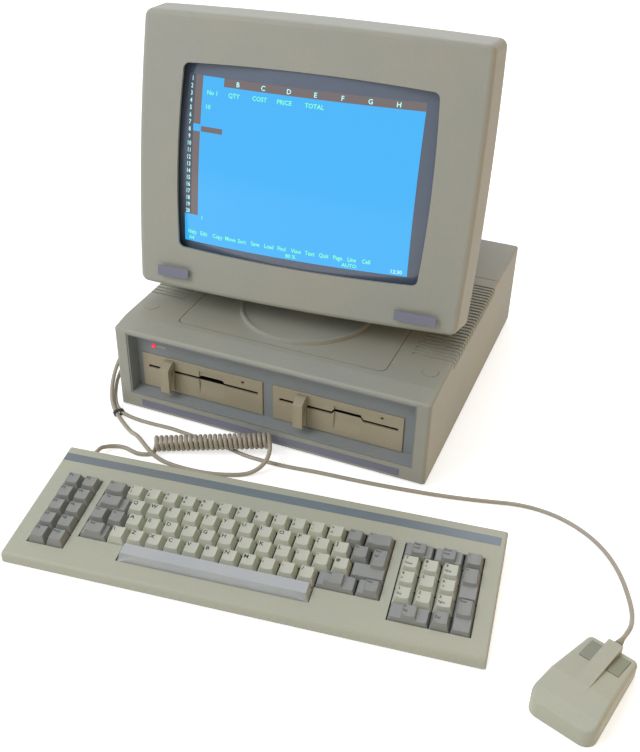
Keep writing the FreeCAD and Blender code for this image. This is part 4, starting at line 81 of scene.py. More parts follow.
# %% Camera
AZIMUTH, ELEVATION, ROLL = 22.11, 34.06, 1.03
turn, rise, roll = (math.radians(value) for value in (AZIMUTH, ELEVATION, ROLL))
back = Vector((math.sin(turn) * math.cos(rise), -math.cos(turn) * math.cos(rise), math.sin(rise)))
level = (-back).cross(Vector((0, 0, 1))).normalized()
upward = level.cross(-back)
right = math.cos(roll) * level + math.sin(roll) * upward
upright = -math.sin(roll) * level + math.cos(roll) * upward
camera = bpy.data.objects.new("camera", bpy.data.cameras.new("camera"))
bpy.context.scene.collection.objects.link(camera)
camera.matrix_world = Matrix((right, upright, back)).transposed().to_4x4()
camera.location = (Vector((567.9, -801.31, 702.3)) + SHIFT) / 1000
camera.data.lens = 48.19
camera.data.shift_x = 0.00903
camera.data.shift_y = -0.01366
camera.data.clip_start = 0.01
bpy.context.scene.camera = camera
print("camera", camera.location)

# %% [markdown]
# Colours are written as sRGB hex values, as a paint chart gives them, and the
# renderer wants linear numbers. One small function adds a shader node with
# its settings, and a link wherever an input is another node's socket.

# %% Colour and nodes


def linear(code):
    """A hex colour as linear red, green, blue and alpha."""
    values = [int(code[index:index + 2], 16) / 255 for index in (1, 3, 5)]
    return tuple(value / 12.92 if value <= 0.04045 else ((value + 0.055) / 1.055) ** 2.4
                 for value in values) + (1.0,)


def add(material, kind, inputs=None, **settings):
    """A node of a material or world; an input is a value or another node's socket."""
    node = material.node_tree.nodes.new("ShaderNode" + kind)
    for name, value in settings.items():
        setattr(node, name, value)
    for name, value in (inputs or {}).items():
        if isinstance(value, bpy.types.NodeSocket):
            material.node_tree.links.new(value, node.inputs[name])
        else:
            node.inputs[name].default_value = value
    return node


def start(name):
    """An empty material and its coordinates, measured in metres on the object."""
    material = bpy.data.materials.new(name)
    material.use_nodes = True
    material.node_tree.nodes.clear()
    return material, add(material, "TexCoord").outputs["Object"]


def close(material, inputs):
    """Ends a material in one principled shader."""
    shader = add(material, "BsdfPrincipled", inputs)
    add(material, "OutputMaterial", {"Surface": shader.outputs["BSDF"]})
    return material


def seen_directly(material):
    """One for what the camera sees, in a mirror or through glass too, and zero otherwise."""
    path = add(material, "LightPath")
    either = add(material, "Math", {0: path.outputs["Is Camera Ray"],
                                    1: path.outputs["Is Glossy Ray"]}, operation="MAXIMUM")
    return add(material, "Math", {0: either.outputs[0], 1: path.outputs["Is Transmission Ray"]},
               operation="MAXIMUM").outputs[0]


def blend(material, share, first, second):
    """A colour that goes from the first to the second with a share from 0 to 1."""
    ramp = add(material, "ValToRGB", {"Fac": share})
    ramp.color_ramp.elements[0].color = linear(first)
    ramp.color_ramp.elements[1].color = linear(second)
    return ramp.outputs["Color"]


# %% [markdown]
# The stage is a pale floor under a white sky. The sky is bright white for the
# camera and for shiny things, and a little softer as a lamp, so that colours
# render about as they are written. The room's right wall is dim and ochre and
# tints what faces it. The floor keeps the object's shadow.

# %% Stage and light
scene = bpy.context.scene
scene.view_settings.view_transform = "Standard"
world = bpy.data.worlds.new("sky")
scene.world = world
world.use_nodes = True
world.node_tree.nodes.clear()
seen = seen_directly(world)
level_of = add(world, "MapRange", {"Value": seen, "To Min": 0.57, "To Max": 1.0})
heading = add(world, "TexCoord")
heading_axes = add(world, "SeparateXYZ", {0: heading.outputs["Generated"]})
warm_side = add(world, "MapRange", {"Value": heading_axes.outputs["X"], "From Min": 0.1,
                                    "From Max": 0.8})
unseen = add(world, "Math", {0: warm_side.outputs[0], 1: seen}, operation="SUBTRACT",
             use_clamp=True)
walls = add(world, "MixRGB", {"Fac": unseen.outputs[0], "Color1": linear("#FFFFFF"),
                              "Color2": linear("#80752E")})
sky = add(world, "Background", {"Strength": level_of.outputs[0], "Color": walls.outputs["Color"]})
add(world, "OutputWorld", {"Surface": sky.outputs[0]})


def lamp(name, spot, target, size, power, tint):
    """A soft square lamp that points at a target."""
    data = bpy.data.lights.new(name, "AREA")
    data.size = size
    data.energy = power
    data.color = linear(tint)[:3]
    thing = bpy.data.objects.new(name, data)
    scene.collection.objects.link(thing)
    thing.location = spot
    thing.rotation_euler = (Vector(target) - Vector(spot)).to_track_quat("-Z", "Y").to_euler()


lamp("window_light", (-1.4, -1.6, 2.0), (0, 0, 0.1), 1.4, 31, "#F3F6FF")
lamp("back_window_light", (-0.3, 1.3, 2.0), (0, -0.1, 0.2), 1.2, 17, "#E3E8FF")
lamp("room_light", (2.2, 0.2, 0.7), (0, 0, 0.15), 0.8, 8, "#FFC25A")


def mesh_piece(name, points, faces, material):
    """A mesh object from points in metres in the frame."""
    data = bpy.data.meshes.new(name)
    data.from_pydata([tuple(point) for point in points], [], faces)
    data.update()
    thing = bpy.data.objects.new(name, data)
    scene.collection.objects.link(thing)
    data.materials.append(material)
    return thing


floor_paint, spots = start("pale painted floor")
mottle = add(floor_paint, "TexNoise", {"Vector": spots, "Scale": 3.0, "Detail": 3.0})
paleness = add(floor_paint, "Math", {0: seen_directly(floor_paint), 1: 0.6}, operation="MULTIPLY")
close(floor_paint, {"Base Color": blend(floor_paint, mottle.outputs["Fac"], "#E9E8E5", "#F1F0EE"),
                    "Roughness": 0.75, "Emission Color": linear("#FFFFFF"),
                    "Emission Strength": paleness.outputs[0]})
REACH = 6
floor = mesh_piece("floor", [(-REACH, -REACH, 0), (REACH, -REACH, 0), (REACH, REACH, 0),
                             (-REACH, REACH, 0)], [(0, 1, 2, 3)], floor_paint)
print("stage set")

# %% [markdown]
# Both cords are grey vinyl over stranded copper. The keyboard's cord leaves
# its strain relief, is wound into a spring of small curls after a few
# centimetres, and goes on to its elbow plug at the unit's left side. A smooth
# spline near a few points gives the soft bends; each curl has twelve points.

# %% Cord route
CORD, WIRE = 4.8, 4.4
CURL, PITCH, QUARTERS = 6.85, 5.4, 94
LYING = 0.05


def route(points, radius):
    """Points in the unit's millimetres; two numbers lie on the floor."""
    return [(Vector((*point[:2], (point[2] if len(point) == 3 else radius + LYING) - FOOT))
             + SHIFT) / 1000 for point in points]


begin = Vector((79.0, -59.0, 9.45 - FOOT))
finish = Vector((195.0, -12.0, 16.4 - FOOT))
along = (finish - begin).normalized()
flat_way = Vector((along.x, along.y, 0)).normalized()
sideways = Vector((-flat_way.y, flat_way.x, 0))
over = along.cross(sideways)
step = PITCH / (2 * math.pi)


def on_curl(angle, stretch=1.0):
    """A point of the curls and its heading, the angle in radians from the bottom."""
    out = sideways * math.sin(angle) - over * math.cos(angle)
    heading = along * step + (sideways * math.cos(angle) + over * math.sin(angle)) * CURL
    return begin + along * (step * angle) + out * CURL * stretch, heading.normalized()


def framed(point):
    """A point in the unit's millimetres as metres in the frame."""
    return (point + SHIFT) / 1000


def leaving(piece, x, y, z, reach):
    """Two points of a cord that leaves a placed piece straight backwards."""
    return [(piece @ shifted(x, y + out, z)).translation for out in reach]


TWELFTH = math.pi / 6
tangent = CURL * math.tan(TWELFTH / 2)
first, first_heading = on_curl(0)
last, last_heading = on_curl(QUARTERS * math.pi / 2)
bend = CURL * math.tan(first_heading.angle(flat_way) / 2)
curls = [framed(first - first_heading * (CORD + bend)), framed(first - first_heading * tangent)]
curls += [framed(on_curl((index + 0.5) * TWELFTH, 1 / math.cos(TWELFTH / 2))[0])
          for index in range(QUARTERS * 3)]
curls += [framed(last + last_heading * tangent), framed(last + last_heading * (CORD + 8))]
lead = leaving(keyboard, 20, DECK_DEPTH, 9, (14, 24))
lead += route([(29.6, -81.4, 5.6), (36.2, -73.6, 3.1), (46.6, -70.6), (57.2, -73.2),
               (67.7, -75.2, 2.54)], CORD / 2)
tail = route([
    (206.5, -31.5, 19.5), (206.5, -41, 13), (201, -50, 6.5), (191, -58.5), (174, -67),
    (153, -73.5), (130, -76.3), (108, -76.4), (93, -75.6, 4.5), (82, -73.6, 9.5),
    (71.5, -68.5, 12.8), (60.5, -60.6, 12.8), (50, -52.4, 9.0), (40.5, -45), (29.5, -38.2),
    (17.5, -30, 2.8), (6.5, -21.8, 4.1), (-2.2, -14.6, 6.4), (-9.0, -6.5, 13), (-13.2, 3.5, 23.5),
    (-16.5, 17, 34), (-18.5, 34, 42.5), (-19.3, 54, 49), (-19.3, 76, 53.4), (-19.3, 100, 55.6),
    (-19.3, 122, 56), (-19.3, 146, 56)],
    CORD / 2)
mouse_route = leaving(mouse, 0, MOUSE_FRONT, 12.5, (16, 24))
mouse_route += route([
    (602.4, -119.2, 10.2), (602.8, -106.5, 6.6), (600.8, -90, 3.2), (594, -69), (582.5, -44),
    (565, -20), (541, -1), (510, 11.5), (474, 13.5), (434, 2), (392, -7.5), (346, -14.8),
    (300, -20.5), (258, -24), (226, -29), (196, -30.5), (174, -30), (157, -26.4), (137, -23.2),
    (114, -22.8), (95, -21.3), (77, -19.6), (57, -20.9), (37, -21.0), (22.5, -19.8, 2.7),
    (10.0, -17.6, 4.1), (0.4, -10.6, 5.0), (-6.3, -2.8, 9.4), (-10.8, 6.3, 16.0),
    (-14, 17, 23.5), (-15.6, 32, 29.8), (-15.2, 50, 34.4), (-13.6, 70, 37.2), (-12.3, 91, 38),
    (-12.3, 101, 38)], WIRE / 2)

# %% [markdown]
# Soft vinyl is slightly glossy and picks up a grey bloom of dust and rubbed
# spots, so the colour wanders a little over a few centimetres and the gloss
# is broken by a fine noise.

# %% Cord vinyl
vinyl, spots = start("grey beige flexible vinyl")
cloud = add(vinyl, "TexNoise", {"Vector": spots, "Scale": 60.0, "Detail": 4.0})
speck = add(vinyl, "TexNoise", {"Vector": spots, "Scale": 1500.0, "Detail": 2.0})
skin = add(vinyl, "Bump", {"Height": speck.outputs["Fac"], "Strength": 0.15, "Distance": 0.0001})
close(vinyl, {"Base Color": blend(vinyl, cloud.outputs["Fac"], "#A19987", "#B6AE9C"),
              "Roughness": 0.42, "IOR": 1.53, "Normal": skin.outputs["Normal"]})


def cord_piece(name, points, thick):
    """A smooth tube along the spline of a route, thick in millimetres."""
    data = bpy.data.curves.new(name, "CURVE")
    data.dimensions = "3D"
    data.bevel_depth = thick / 2000
    data.bevel_resolution = 4
    data.resolution_u = 6
    line = data.splines.new("NURBS")
    line.points.add(len(points) - 1)
    for spot, point in zip(line.points, points):
        spot.co = (*point, 1)
    line.order_u = 3
    line.use_endpoint_u = True
    data.use_fill_caps = True
    data.materials.append(vinyl)
    thing = bpy.data.objects.new(name, data)
    scene.collection.objects.link(thing)
    return thing


keyboard_cord = cord_piece("keyboard_cord", lead + curls + tail, CORD)
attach(keyboard_cord, "system_unit")
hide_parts("keyboard_lead", "keyboard_coil", "keyboard_tail")
mouse_cord = cord_piece("mouse_signal_cord", mouse_route, WIRE)
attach(mouse_cord, "system_unit")
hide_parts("mouse_cord")
print("cord points", len(lead + curls + tail), len(mouse_route))

# %% [markdown]
# The cases are moulded in ABS, in a mould whose walls were sparked to a fine
# grain. That grain is about a third of a millimetre across and hides sink
# marks: it breaks every highlight into a soft sheen. Years of light turn the
# plastic unevenly warm, which a large, faint cloud of a second colour shows.

# %% Moulded plastics


def moulded(name, cool, warm, grain, depth, roughness, cloud_size=120.0, sheen=0.5,
            painted_shade_behind=None):
    """A moulded plastic, all lengths in millimetres; behind a plane it may be painted black as
    shade.
    """
    material, spots = start(name)
    cloud = add(material, "TexNoise", {"Vector": spots, "Scale": 1000 / cloud_size, "Detail": 4.0,
                                       "Roughness": 0.6})
    soft = add(material, "MapRange", {"Value": cloud.outputs["Fac"], "From Min": 0.3,
                                      "From Max": 0.7})
    pits = add(material, "TexNoise", {"Vector": spots, "Scale": 1000 / grain, "Detail": 2.0})
    dust = add(material, "TexNoise", {"Vector": spots, "Scale": 1000 / (grain * 6), "Detail": 5.0})
    body = blend(material, soft.outputs["Result"], cool, warm)
    fleck = add(material, "MapRange", {"Value": pits.outputs["Fac"], "From Min": 0.3,
                                       "From Max": 0.7, "To Min": 0.95, "To Max": 1.05})
    colour = add(material, "MixRGB", {"Fac": 1.0, "Color1": body,
                                      "Color2": fleck.outputs["Result"]}, blend_type="MULTIPLY")
    tone = colour.outputs["Color"]
    # Behind the plane the colour turns near black: painted shade inside the drive slots, where
    # little light reaches.
    if painted_shade_behind is not None:
        axes = add(material, "SeparateXYZ", {"Vector": spots})
        in_painted_slot_shade = add(material, "Math", {0: axes.outputs["Y"], 1: (painted_shade_behind + SHIFT.y) / 1000},
                   operation="GREATER_THAN")
        tone = add(material, "MixRGB", {"Fac": in_painted_slot_shade.outputs[0], "Color1": tone,
                                        "Color2": linear("#0C0C0D")}).outputs["Color"]
    dull = add(material, "MapRange", {"Value": dust.outputs["Fac"], "To Min": roughness - 0.06,
                                      "To Max": roughness + 0.08})
    skin = add(material, "Bump", {"Height": pits.outputs["Fac"], "Strength": 0.35,
                                  "Distance": depth / 1000})
    return close(material, {"Base Color": tone, "Roughness": dull.outputs["Result"], "IOR": 1.53,
                            "Specular IOR Level": sheen, "Normal": skin.outputs["Normal"]})


# Deeper in than this the fascias are painted near black: painted shade inside the slots.
SLOT_SHADE_DEPTH = 15.4
case_plastic = moulded("spark textured ABS", "#A1A298", "#AAA797", 1.1, 0.08, 0.55)
key_case_plastic = moulded("fine textured ABS", "#B3B5A1", "#B9B8A3", 0.9, 0.05, 0.5)
lever_plastic = moulded("cream ABS", "#A59B80", "#AFA48A", 1.2, 0.06, 0.5)
fascia_painted_shade_plastic = moulded("cream ABS with painted slot shade", "#A59B80", "#AFA48A", 1.2, 0.06, 0.5,
                         painted_shade_behind=SLOT_SHADE_DEPTH)
panel_plastic = moulded("dark blue grey ABS", "#858B8C", "#8D9190", 1.1, 0.08, 0.6)
foot_plastic = moulded("pale grey ABS", "#A5A69C", "#B0AFA2", 1.0, 0.06, 0.5)
light_key_plastic = moulded("ivory PBT", "#C4C6B5", "#CDCDBA", 0.7, 0.05, 0.42, 60.0)
dark_key_plastic = moulded("grey PBT", "#8E8F8B", "#979890", 0.7, 0.05, 0.42, 60.0)
bar_plastic = moulded("pale grey PBT", "#B6B9BA", "#BDBFBD", 0.7, 0.05, 0.45, 60.0)
button_plastic = moulded("grey button ABS", "#8C8E7A", "#94957F", 0.8, 0.04, 0.45)
black_plastic = moulded("black glass filled nylon", "#161618", "#202022", 0.8, 0.03, 0.4)
tie_plastic = moulded("black nylon strap", "#0E0E10", "#18181A", 0.6, 0.03, 0.35)
base_plastic = moulded("dark underside ABS", "#5E6264", "#66696A", 0.9, 0.05, 0.6)
foot_rubber = moulded("black moulded rubber", "#17171A", "#222224", 1.4, 0.1, 0.8, 20.0, 0.3)
ball_rubber = moulded("grey ground rubber", "#4A4C50", "#56585B", 0.5, 0.05, 0.7, 8.0, 0.3)
plug_vinyl = moulded("moulded plug vinyl", "#98917F", "#A59D8A", 0.6, 0.05, 0.5)
print("plastics", len(bpy.data.materials))

# %% [markdown]
# Metal parts hide inside. Sheet steel is zinc plated and shows crystals a few
# millimetres across, cast aluminium is dull and pitted, turned steel carries
# fine rings, drawn here as a fine noise, and a copper winding shows its wires
# side by side.

# %% Metals


def metal(name, first, second, pattern, size, roughness, bump):
    """A bare metal with a pattern of the given size in millimetres."""
    material, spots = start(name)
    kind, output = ("TexVoronoi", "Color") if pattern == "crystals" else ("TexNoise", "Fac")
    texture = add(material, kind, {"Vector": spots, "Scale": 1000 / size})
    tone = texture.outputs[output]
    if pattern == "crystals":
        tone = add(material, "RGBToBW", {"Color": tone}).outputs["Val"]
    dull = add(material, "MapRange", {"Value": tone, "To Min": roughness - 0.08,
                                      "To Max": roughness + 0.08})
    skin = add(material, "Bump", {"Height": tone, "Strength": 0.3, "Distance": bump / 1000})
    return close(material, {"Base Color": blend(material, tone, first, second), "Metallic": 1.0,
                            "Roughness": dull.outputs["Result"], "Normal": skin.outputs["Normal"]})


zinc_steel = metal("zinc plated sheet steel", "#9B9DA0", "#B7B8BA", "crystals", 6.0, 0.36, 0.01)
cast_aluminium = metal("cast aluminium", "#8F9092", "#A9AAAC", "pits", 0.8, 0.5, 0.1)
turned_steel = metal("turned bright steel", "#A8A9AC", "#C9CACC", "pits", 0.5, 0.25, 0.02)

winding, spots = start("enamelled copper winding")
wires = add(winding, "TexWave", {"Vector": spots, "Scale": 260.0, "Distortion": 1.5},
            bands_direction="Y")
ridge = add(winding, "Bump", {"Height": wires.outputs["Fac"], "Strength": 0.6, "Distance": 0.0004})
close(winding, {"Base Color": blend(winding, wires.outputs["Fac"], "#5A2412", "#A5562C"),
                "Roughness": 0.35, "IOR": 1.5, "Normal": ridge.outputs["Normal"]})

# %% [markdown]
# A circuit board is glass cloth with green lacquer over copper tracks. The
# tracks show as a slightly lighter green. Everything that stands higher than
# the board's own surface is a black moulded component.

# %% Boards, cells and paper
board_paint, spots = start("green lacquered circuit board")
tracks = add(board_paint, "TexBrick", {
    "Vector": spots, "Scale": 60.0, "Mortar Size": 0.06, "Color1": linear("#0F4A2A"),
    "Color2": linear("#0B3F24"), "Mortar": linear("#2C7A4C")}, offset=0.3)
axes = add(board_paint, "SeparateXYZ", {"Vector": spots})
BOARD_LOW, BOARD_THICK = 8.0, 1.7
is_high = add(board_paint, "Math", {0: axes.outputs["Z"],
                                    1: (BOARD_LOW + FOOT + BOARD_THICK) / 1000},
              operation="GREATER_THAN")
grit = add(board_paint, "TexNoise", {"Vector": spots, "Scale": 900.0})
black = blend(board_paint, grit.outputs["Fac"], "#131314", "#222224")
painted = add(board_paint, "MixRGB", {"Fac": is_high.outputs[0], "Color1": tracks.outputs["Color"],
                                      "Color2": black})
close(board_paint, {"Base Color": painted.outputs["Color"], "Roughness": 0.35, "IOR": 1.5})

brown_board, spots = start("brown paper based circuit board")
tracks = add(brown_board, "TexBrick", {
    "Vector": spots, "Scale": 45.0, "Mortar Size": 0.08, "Color1": linear("#6E4B22"),
    "Color2": linear("#64421D"), "Mortar": linear("#8A6A3A")}, offset=0.4)
close(brown_board, {"Base Color": tracks.outputs["Color"], "Roughness": 0.5, "IOR": 1.5})

jacket, spots = start("shrink film cell jacket")
bands = add(jacket, "TexWave", {"Vector": spots, "Scale": 12.0}, bands_direction="X")
close(jacket, {"Base Color": blend(jacket, bands.outputs["Fac"], "#1E4A63", "#2B6480"),
               "Roughness": 0.3, "IOR": 1.5})

paper, spots = start("black pressed paper cone")
fibres = add(paper, "TexNoise", {"Vector": spots, "Scale": 900.0, "Detail": 6.0})
furry = add(paper, "Bump", {"Height": fibres.outputs["Fac"], "Strength": 0.5, "Distance": 0.0002})
close(paper, {"Base Color": blend(paper, fibres.outputs["Fac"], "#141414", "#262524"),
              "Roughness": 0.9, "Normal": furry.outputs["Normal"]})

# %% [markdown]
# A lamp is a diode behind a ribbed lens of red polystyrene. The lens is dull
# and dark where the diode is off, as on both drives, and glows where it is on:
# that is the power lamp, which stands furthest to the left.

# %% Lamp lens
lens, spots = start("red polystyrene lens")
ribs = add(lens, "TexWave", {"Vector": spots, "Scale": 300.0}, bands_direction="X")
axes = add(lens, "SeparateXYZ", {"Vector": spots})
POWER_LAMP_END = 50.0
is_power_lamp = add(lens, "Math", {0: axes.outputs["X"], 1: (POWER_LAMP_END + SHIFT.x) / 1000},
                    operation="LESS_THAN")
close(lens, {"Base Color": blend(lens, ribs.outputs["Fac"], "#5E1A20", "#7A262C"),
             "Roughness": 0.15, "IOR": 1.59, "Emission Color": linear("#FF3348"),
             "Emission Strength": is_power_lamp.outputs[0]})

# %% [markdown]
# The picture tube is thick leaded glass, coated black with graphite on its
# funnel, though here the whole tube takes one glass finish. Its face is dark
# neutral glass with a polished front; the blue grey given to it is partly its
# own colour and partly painted reflection of the room.

# %% Tube glass
glass, spots = start("dark leaded glass")
smear = add(glass, "TexNoise", {"Vector": spots, "Scale": 30.0, "Detail": 5.0})
polish = add(glass, "MapRange", {"Value": smear.outputs["Fac"], "To Min": 0.06, "To Max": 0.16})
# The blue grey base colour is partly the glass's own and partly painted reflection.
close(glass, {"Base Color": blend(glass, smear.outputs["Fac"], "#5C687A", "#667284"),
              "Roughness": polish.outputs["Result"], "IOR": 1.57})

# %% [markdown]
# Each node now gets the finish of the real piece.

# %% Dress the nodes
FINISHES = {
    case_plastic: ["top_cover", "screw_caps", "battery_cover", "monitor_bezel",
                   "monitor_rear_case"],
    key_case_plastic: ["keyboard_top", "mouse_top"],
    fascia_painted_shade_plastic: ["left_drive_fascia", "right_drive_fascia"],
    lever_plastic: ["left_drive_lever", "right_drive_lever"],
    panel_plastic: ["front_panel", "volume_wheel", "brightness_wheel"],
    foot_plastic: ["monitor_foot"],
    light_key_plastic: ["digit_row_keys", "upper_row_keys", "home_row_keys", "lower_row_keys",
                        "pad_digit_keys"],
    bar_plastic: ["space_bar"],
    dark_key_plastic: ["function_keys", "control_keys"],
    button_plastic: ["mouse_left_button", "mouse_right_button", "power_button"],
    black_plastic: ["connector_sockets", "keyboard_board", "cable_glands"],
    plug_vinyl: ["keyboard_plug", "mouse_plug", "strain_reliefs"],
    base_plastic: ["keyboard_base", "keyboard_legs", "mouse_base", "ball_ring"],
    tie_plastic: ["cord_tie"],
    foot_rubber: ["rubber_feet"],
    ball_rubber: ["mouse_ball"],
    zinc_steel: ["base_tray", "slot_covers", "case_screws"],
    cast_aluminium: ["left_drive_frame", "right_drive_frame", "left_head_carriage",
                     "right_head_carriage"],
    turned_steel: ["left_drive_spindle", "right_drive_spindle", "mouse_roller"],
    winding: ["deflection_yoke"],
    board_paint: ["motherboard"],
    brown_board: ["monitor_boards"],
    jacket: ["battery_cells"],
    paper: ["speaker"],
    lens: ["indicator_lamps"],
    glass: ["picture_tube"],
}
dressed = 0
for material, names in FINISHES.items():
    for name in names:
        piece = nodes[name]
        for slot in piece.material_slots:
            slot.material = material
        if not piece.material_slots:
            piece.data.materials.append(material)
        dressed += 1
print("nodes dressed", dressed, "not dressed", sorted(
    set(nodes) - {name for names in FINISHES.values() for name in names}))

# %% [markdown]
# Thin printed or glued-on trim is too slight for the solids: bare badge plates
# on the monitor, a blue grey strip along the unit's front and another across
# the keyboard. Each is a rounded plate with a small bevel, so that its edge
# catches the light as a real foil or plastic label does.

# %% Plates


def rounded_rectangle(left, right, low, high, radius, count=5):
    """The outline of a rounded rectangle, anticlockwise."""
    points = []
    for turn, (x, y) in enumerate(((right - radius, high - radius), (left + radius, high - radius),
                                   (left + radius, low + radius), (right - radius, low + radius))):
        for part in range(count + 1):
            angle = math.pi / 2 * (turn + part / count)
            points.append((x + radius * math.cos(angle), y + radius * math.sin(angle)))
    return points


def plate(name, body, matrix, box, radius, lift, material, bevel=0.15):
    """A thin plate in a piece's own millimetres; lift is its top's height, box its four edges."""
    left, right, low, high = box
    rings = [(rounded_rectangle(left, right, low, high, radius), 0.0),
             (rounded_rectangle(left, right, low, high, radius), lift - bevel),
             (rounded_rectangle(left + bevel, right - bevel, low + bevel, high - bevel,
                                radius - bevel / 2), lift)]
    points, faces = [], []
    size = len(rings[0][0])
    for ring, level_mm in rings:
        points += [matrix @ (Vector((x, y, level_mm)) / 1000) for x, y in ring]
    for index in range(2):
        for a in range(size):
            b = (a + 1) % size
            faces.append((index * size + a, index * size + b, (index + 1) * size + b,
                          (index + 1) * size + a))
    faces.append(tuple(range(2 * size, 3 * size)))
    faces.append(tuple(reversed(range(size))))
    thing = mesh_piece(name, points, faces, material)
    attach(thing, body)


def standing(matrix):
    """The same place with its plate upright: X across, Y up and Z towards the sitter."""
    return matrix @ Matrix.Rotation(math.pi / 2, 4, "X")


def foil(name, cool, warm, roughness):
    """A screen printed label foil with a brushed grain half a millimetre wide."""
    material, spots = start(name)
    stretch = add(material, "Mapping", {"Vector": spots, "Scale": (60.0, 2000.0, 2000.0)})
    brushed = add(material, "TexNoise", {"Vector": stretch.outputs["Vector"], "Scale": 1.0,
                                         "Detail": 3.0})
    skin = add(material, "Bump", {"Height": brushed.outputs["Fac"], "Strength": 0.2,
                                  "Distance": 0.00002})
    return close(material, {"Base Color": blend(material, brushed.outputs["Fac"], cool, warm),
                            "Roughness": roughness, "Metallic": 0.15,
                            "Normal": skin.outputs["Normal"]})


badge_foil = foil("grey violet label foil", "#727486", "#80818F", 0.35)
strip_foil = foil("blue grey label foil", "#6F797E", "#7C8588", 0.4)
unit = place(0, 0, 0)
front = standing(unit)
plate("unit_label_strip", "system_unit", front, (28.5, 343, 3.0, 12.5), 0.6, 0.35, badge_foil)
plate("keyboard_label_strip", "system_unit", deck, (1.6, 462.4, 130.1, 140.7), 0.5, 0.25,
      strip_foil)
for name, box in (("left_badge", (-156.7, -120.0, 12.0, 23.8)),
                  ("right_badge", (114.6, 159.4, 8.6, 19.2))):
    plate(name, "monitor", standing(face), box, 0.8, 0.7, badge_foil)
print("plates made")

# %% [markdown]
# The monitor shows a worksheet: a bright sky blue field, a grey bar of column
# letters, a bar of row numbers and a grey cursor. Everything is laid on the
# tube's face, which is part of a ball of 760 mm radius. Phosphor light is made
# of raster lines, so a fine stripe crosses it.

# %% Lit screen
OPENING_LOW, OPENING_HEIGHT = 47.4, 195.4
TUBE, FRONT, MIDDLE = 760.0, -2.5, OPENING_LOW + OPENING_HEIGHT / 2
RASTER = 0.9


def on_tube(x, z, lift):
    """A point of the tube's face, lifted off it, in metres in the frame."""
    y = FRONT + TUBE - math.sqrt((TUBE + lift) ** 2 - x * x - (z - MIDDLE) ** 2)
    return face @ (Vector((x, y, z)) / 1000)


def phosphor(name, dim, bright, strength, lines=True):
    """Glowing phosphor behind polished glass, with the raster's lines if it is a field."""
    material, spots = start(name)
    if lines:
        local = add(material, "UVMap")
        raster = add(material, "TexWave", {"Vector": local.outputs["UV"],
                                           "Scale": 1.0 / RASTER / 2}, bands_direction="Y")
        tone = raster.outputs["Fac"]
    else:
        tone = add(material, "TexNoise", {"Vector": spots, "Scale": 400.0}).outputs["Fac"]
    glow = blend(material, tone, dim, bright)
    return close(material, {"Base Color": (0.005, 0.007, 0.01, 1.0), "Roughness": 0.12, "IOR": 1.52,
                            "Emission Color": glow, "Emission Strength": strength})


sky_glow = phosphor("lit blue phosphor", "#31A9F4", "#3FBBFB", 0.98)
grey_glow = phosphor("lit grey phosphor", "#6C6264", "#7A6E6E", 0.9)
# The unlit phosphor glows faintly too: painted light standing in for the room reflected in its
# glass.
unlit_painted_glow = phosphor("unlit phosphor with painted glow", "#454D5B", "#4B5361", 0.9)
cyan_glow = phosphor("lit cyan phosphor", "#9CF2F4", "#C4FBFC", 1.1, False)
green_glow = phosphor("lit green phosphor", "#6CF0B4", "#8CFFCA", 1.1, False)


def screen_patch(name, box, lift, material, cell=10):
    """A rectangle of the picture laid on the tube's face, in cells of some millimetres."""
    left, right, low, high = box
    columns = max(1, round((right - left) / cell))
    rows = max(1, round((high - low) / cell))
    points, spots, faces = [], [], []
    for row in range(rows + 1):
        for column in range(columns + 1):
            x = left + (right - left) * column / columns
            z = low + (high - low) * row / rows
            points.append(on_tube(x, z, lift))
            spots.append((x, z))
    for row in range(rows):
        for column in range(columns):
            a = row * (columns + 1) + column
            faces.append((a, a + 1, a + columns + 2, a + columns + 1))
    thing = mesh_piece(name, points, faces, material)
    layer = thing.data.uv_layers.new(name="UVMap")
    for loop in thing.data.loops:
        layer.data[loop.index].uv = spots[loop.vertex_index]
    for polygon in thing.data.polygons:
        polygon.use_smooth = True
    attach(thing, "monitor")


screen_patch("screen_field", (-131.0, 121.0, 53.2, 231.0), 0.15, sky_glow)
# The row numbers' column glows only as painted light.
screen_patch("screen_row_numbers", (-131.2, -123.0, 84.0, 231.2), 0.22, unlit_painted_glow)
screen_patch("screen_row_bar", (-123.0, -114.6, 84.0, 231.0), 0.22, grey_glow)
screen_patch("screen_column_bar", (-90.0, 121.2, 222.6, 231.2), 0.22, grey_glow)
screen_patch("screen_cursor", (-113.6, -88.4, 174.6, 180.2), 0.22, grey_glow)
screen_patch("screen_row_marker", (-123.0, -114.6, 174.4, 181.8), 0.28, sky_glow)

# %% [markdown]
# Letters are flat filled outlines from the built-in font, cut once for each
# word. Their corners are then laid on a surface: the curved tube, or a key's
# hollow top. Words of one colour on one body become one mesh.

# %% Lettering
CAP_SHARE = 0.729
shapes = {}
stores = {}


def outline_of(word):
    """The points and faces of a word, with capitals one unit high."""
    if word not in shapes:
        data = bpy.data.curves.new("word", "FONT")
        data.body = word
        data.resolution_u = 2
        data.size = 1.0
        data.offset = 0.02
        thing = bpy.data.objects.new("word", data)
        made = bpy.data.meshes.new_from_object(thing)
        shapes[word] = ([(v.co.x / CAP_SHARE, v.co.y / CAP_SHARE) for v in made.vertices],
                        [tuple(polygon.vertices) for polygon in made.polygons])
        bpy.data.objects.remove(thing)
        bpy.data.curves.remove(data)
        bpy.data.meshes.remove(made)
    return shapes[word]


def write(store, word, x, y, height, surface, middle=False, squeeze=1.0):
    """Adds a word to a store, its lower left or lower middle at x, y in millimetres."""
    points, faces = outline_of(word)
    if not points:
        return
    width = max(point[0] for point in points) * height * squeeze
    shift = -width / 2 if middle else 0.0
    all_points, all_faces = stores.setdefault(store, ([], []))
    base = len(all_points)
    all_points += [surface(x + shift + point[0] * height * squeeze, y + point[1] * height)
                   for point in points]
    all_faces += [tuple(base + index for index in one) for one in faces]


def on_glass(x, z):
    """A point just over the picture's fields."""
    return on_tube(x, z, 0.34)


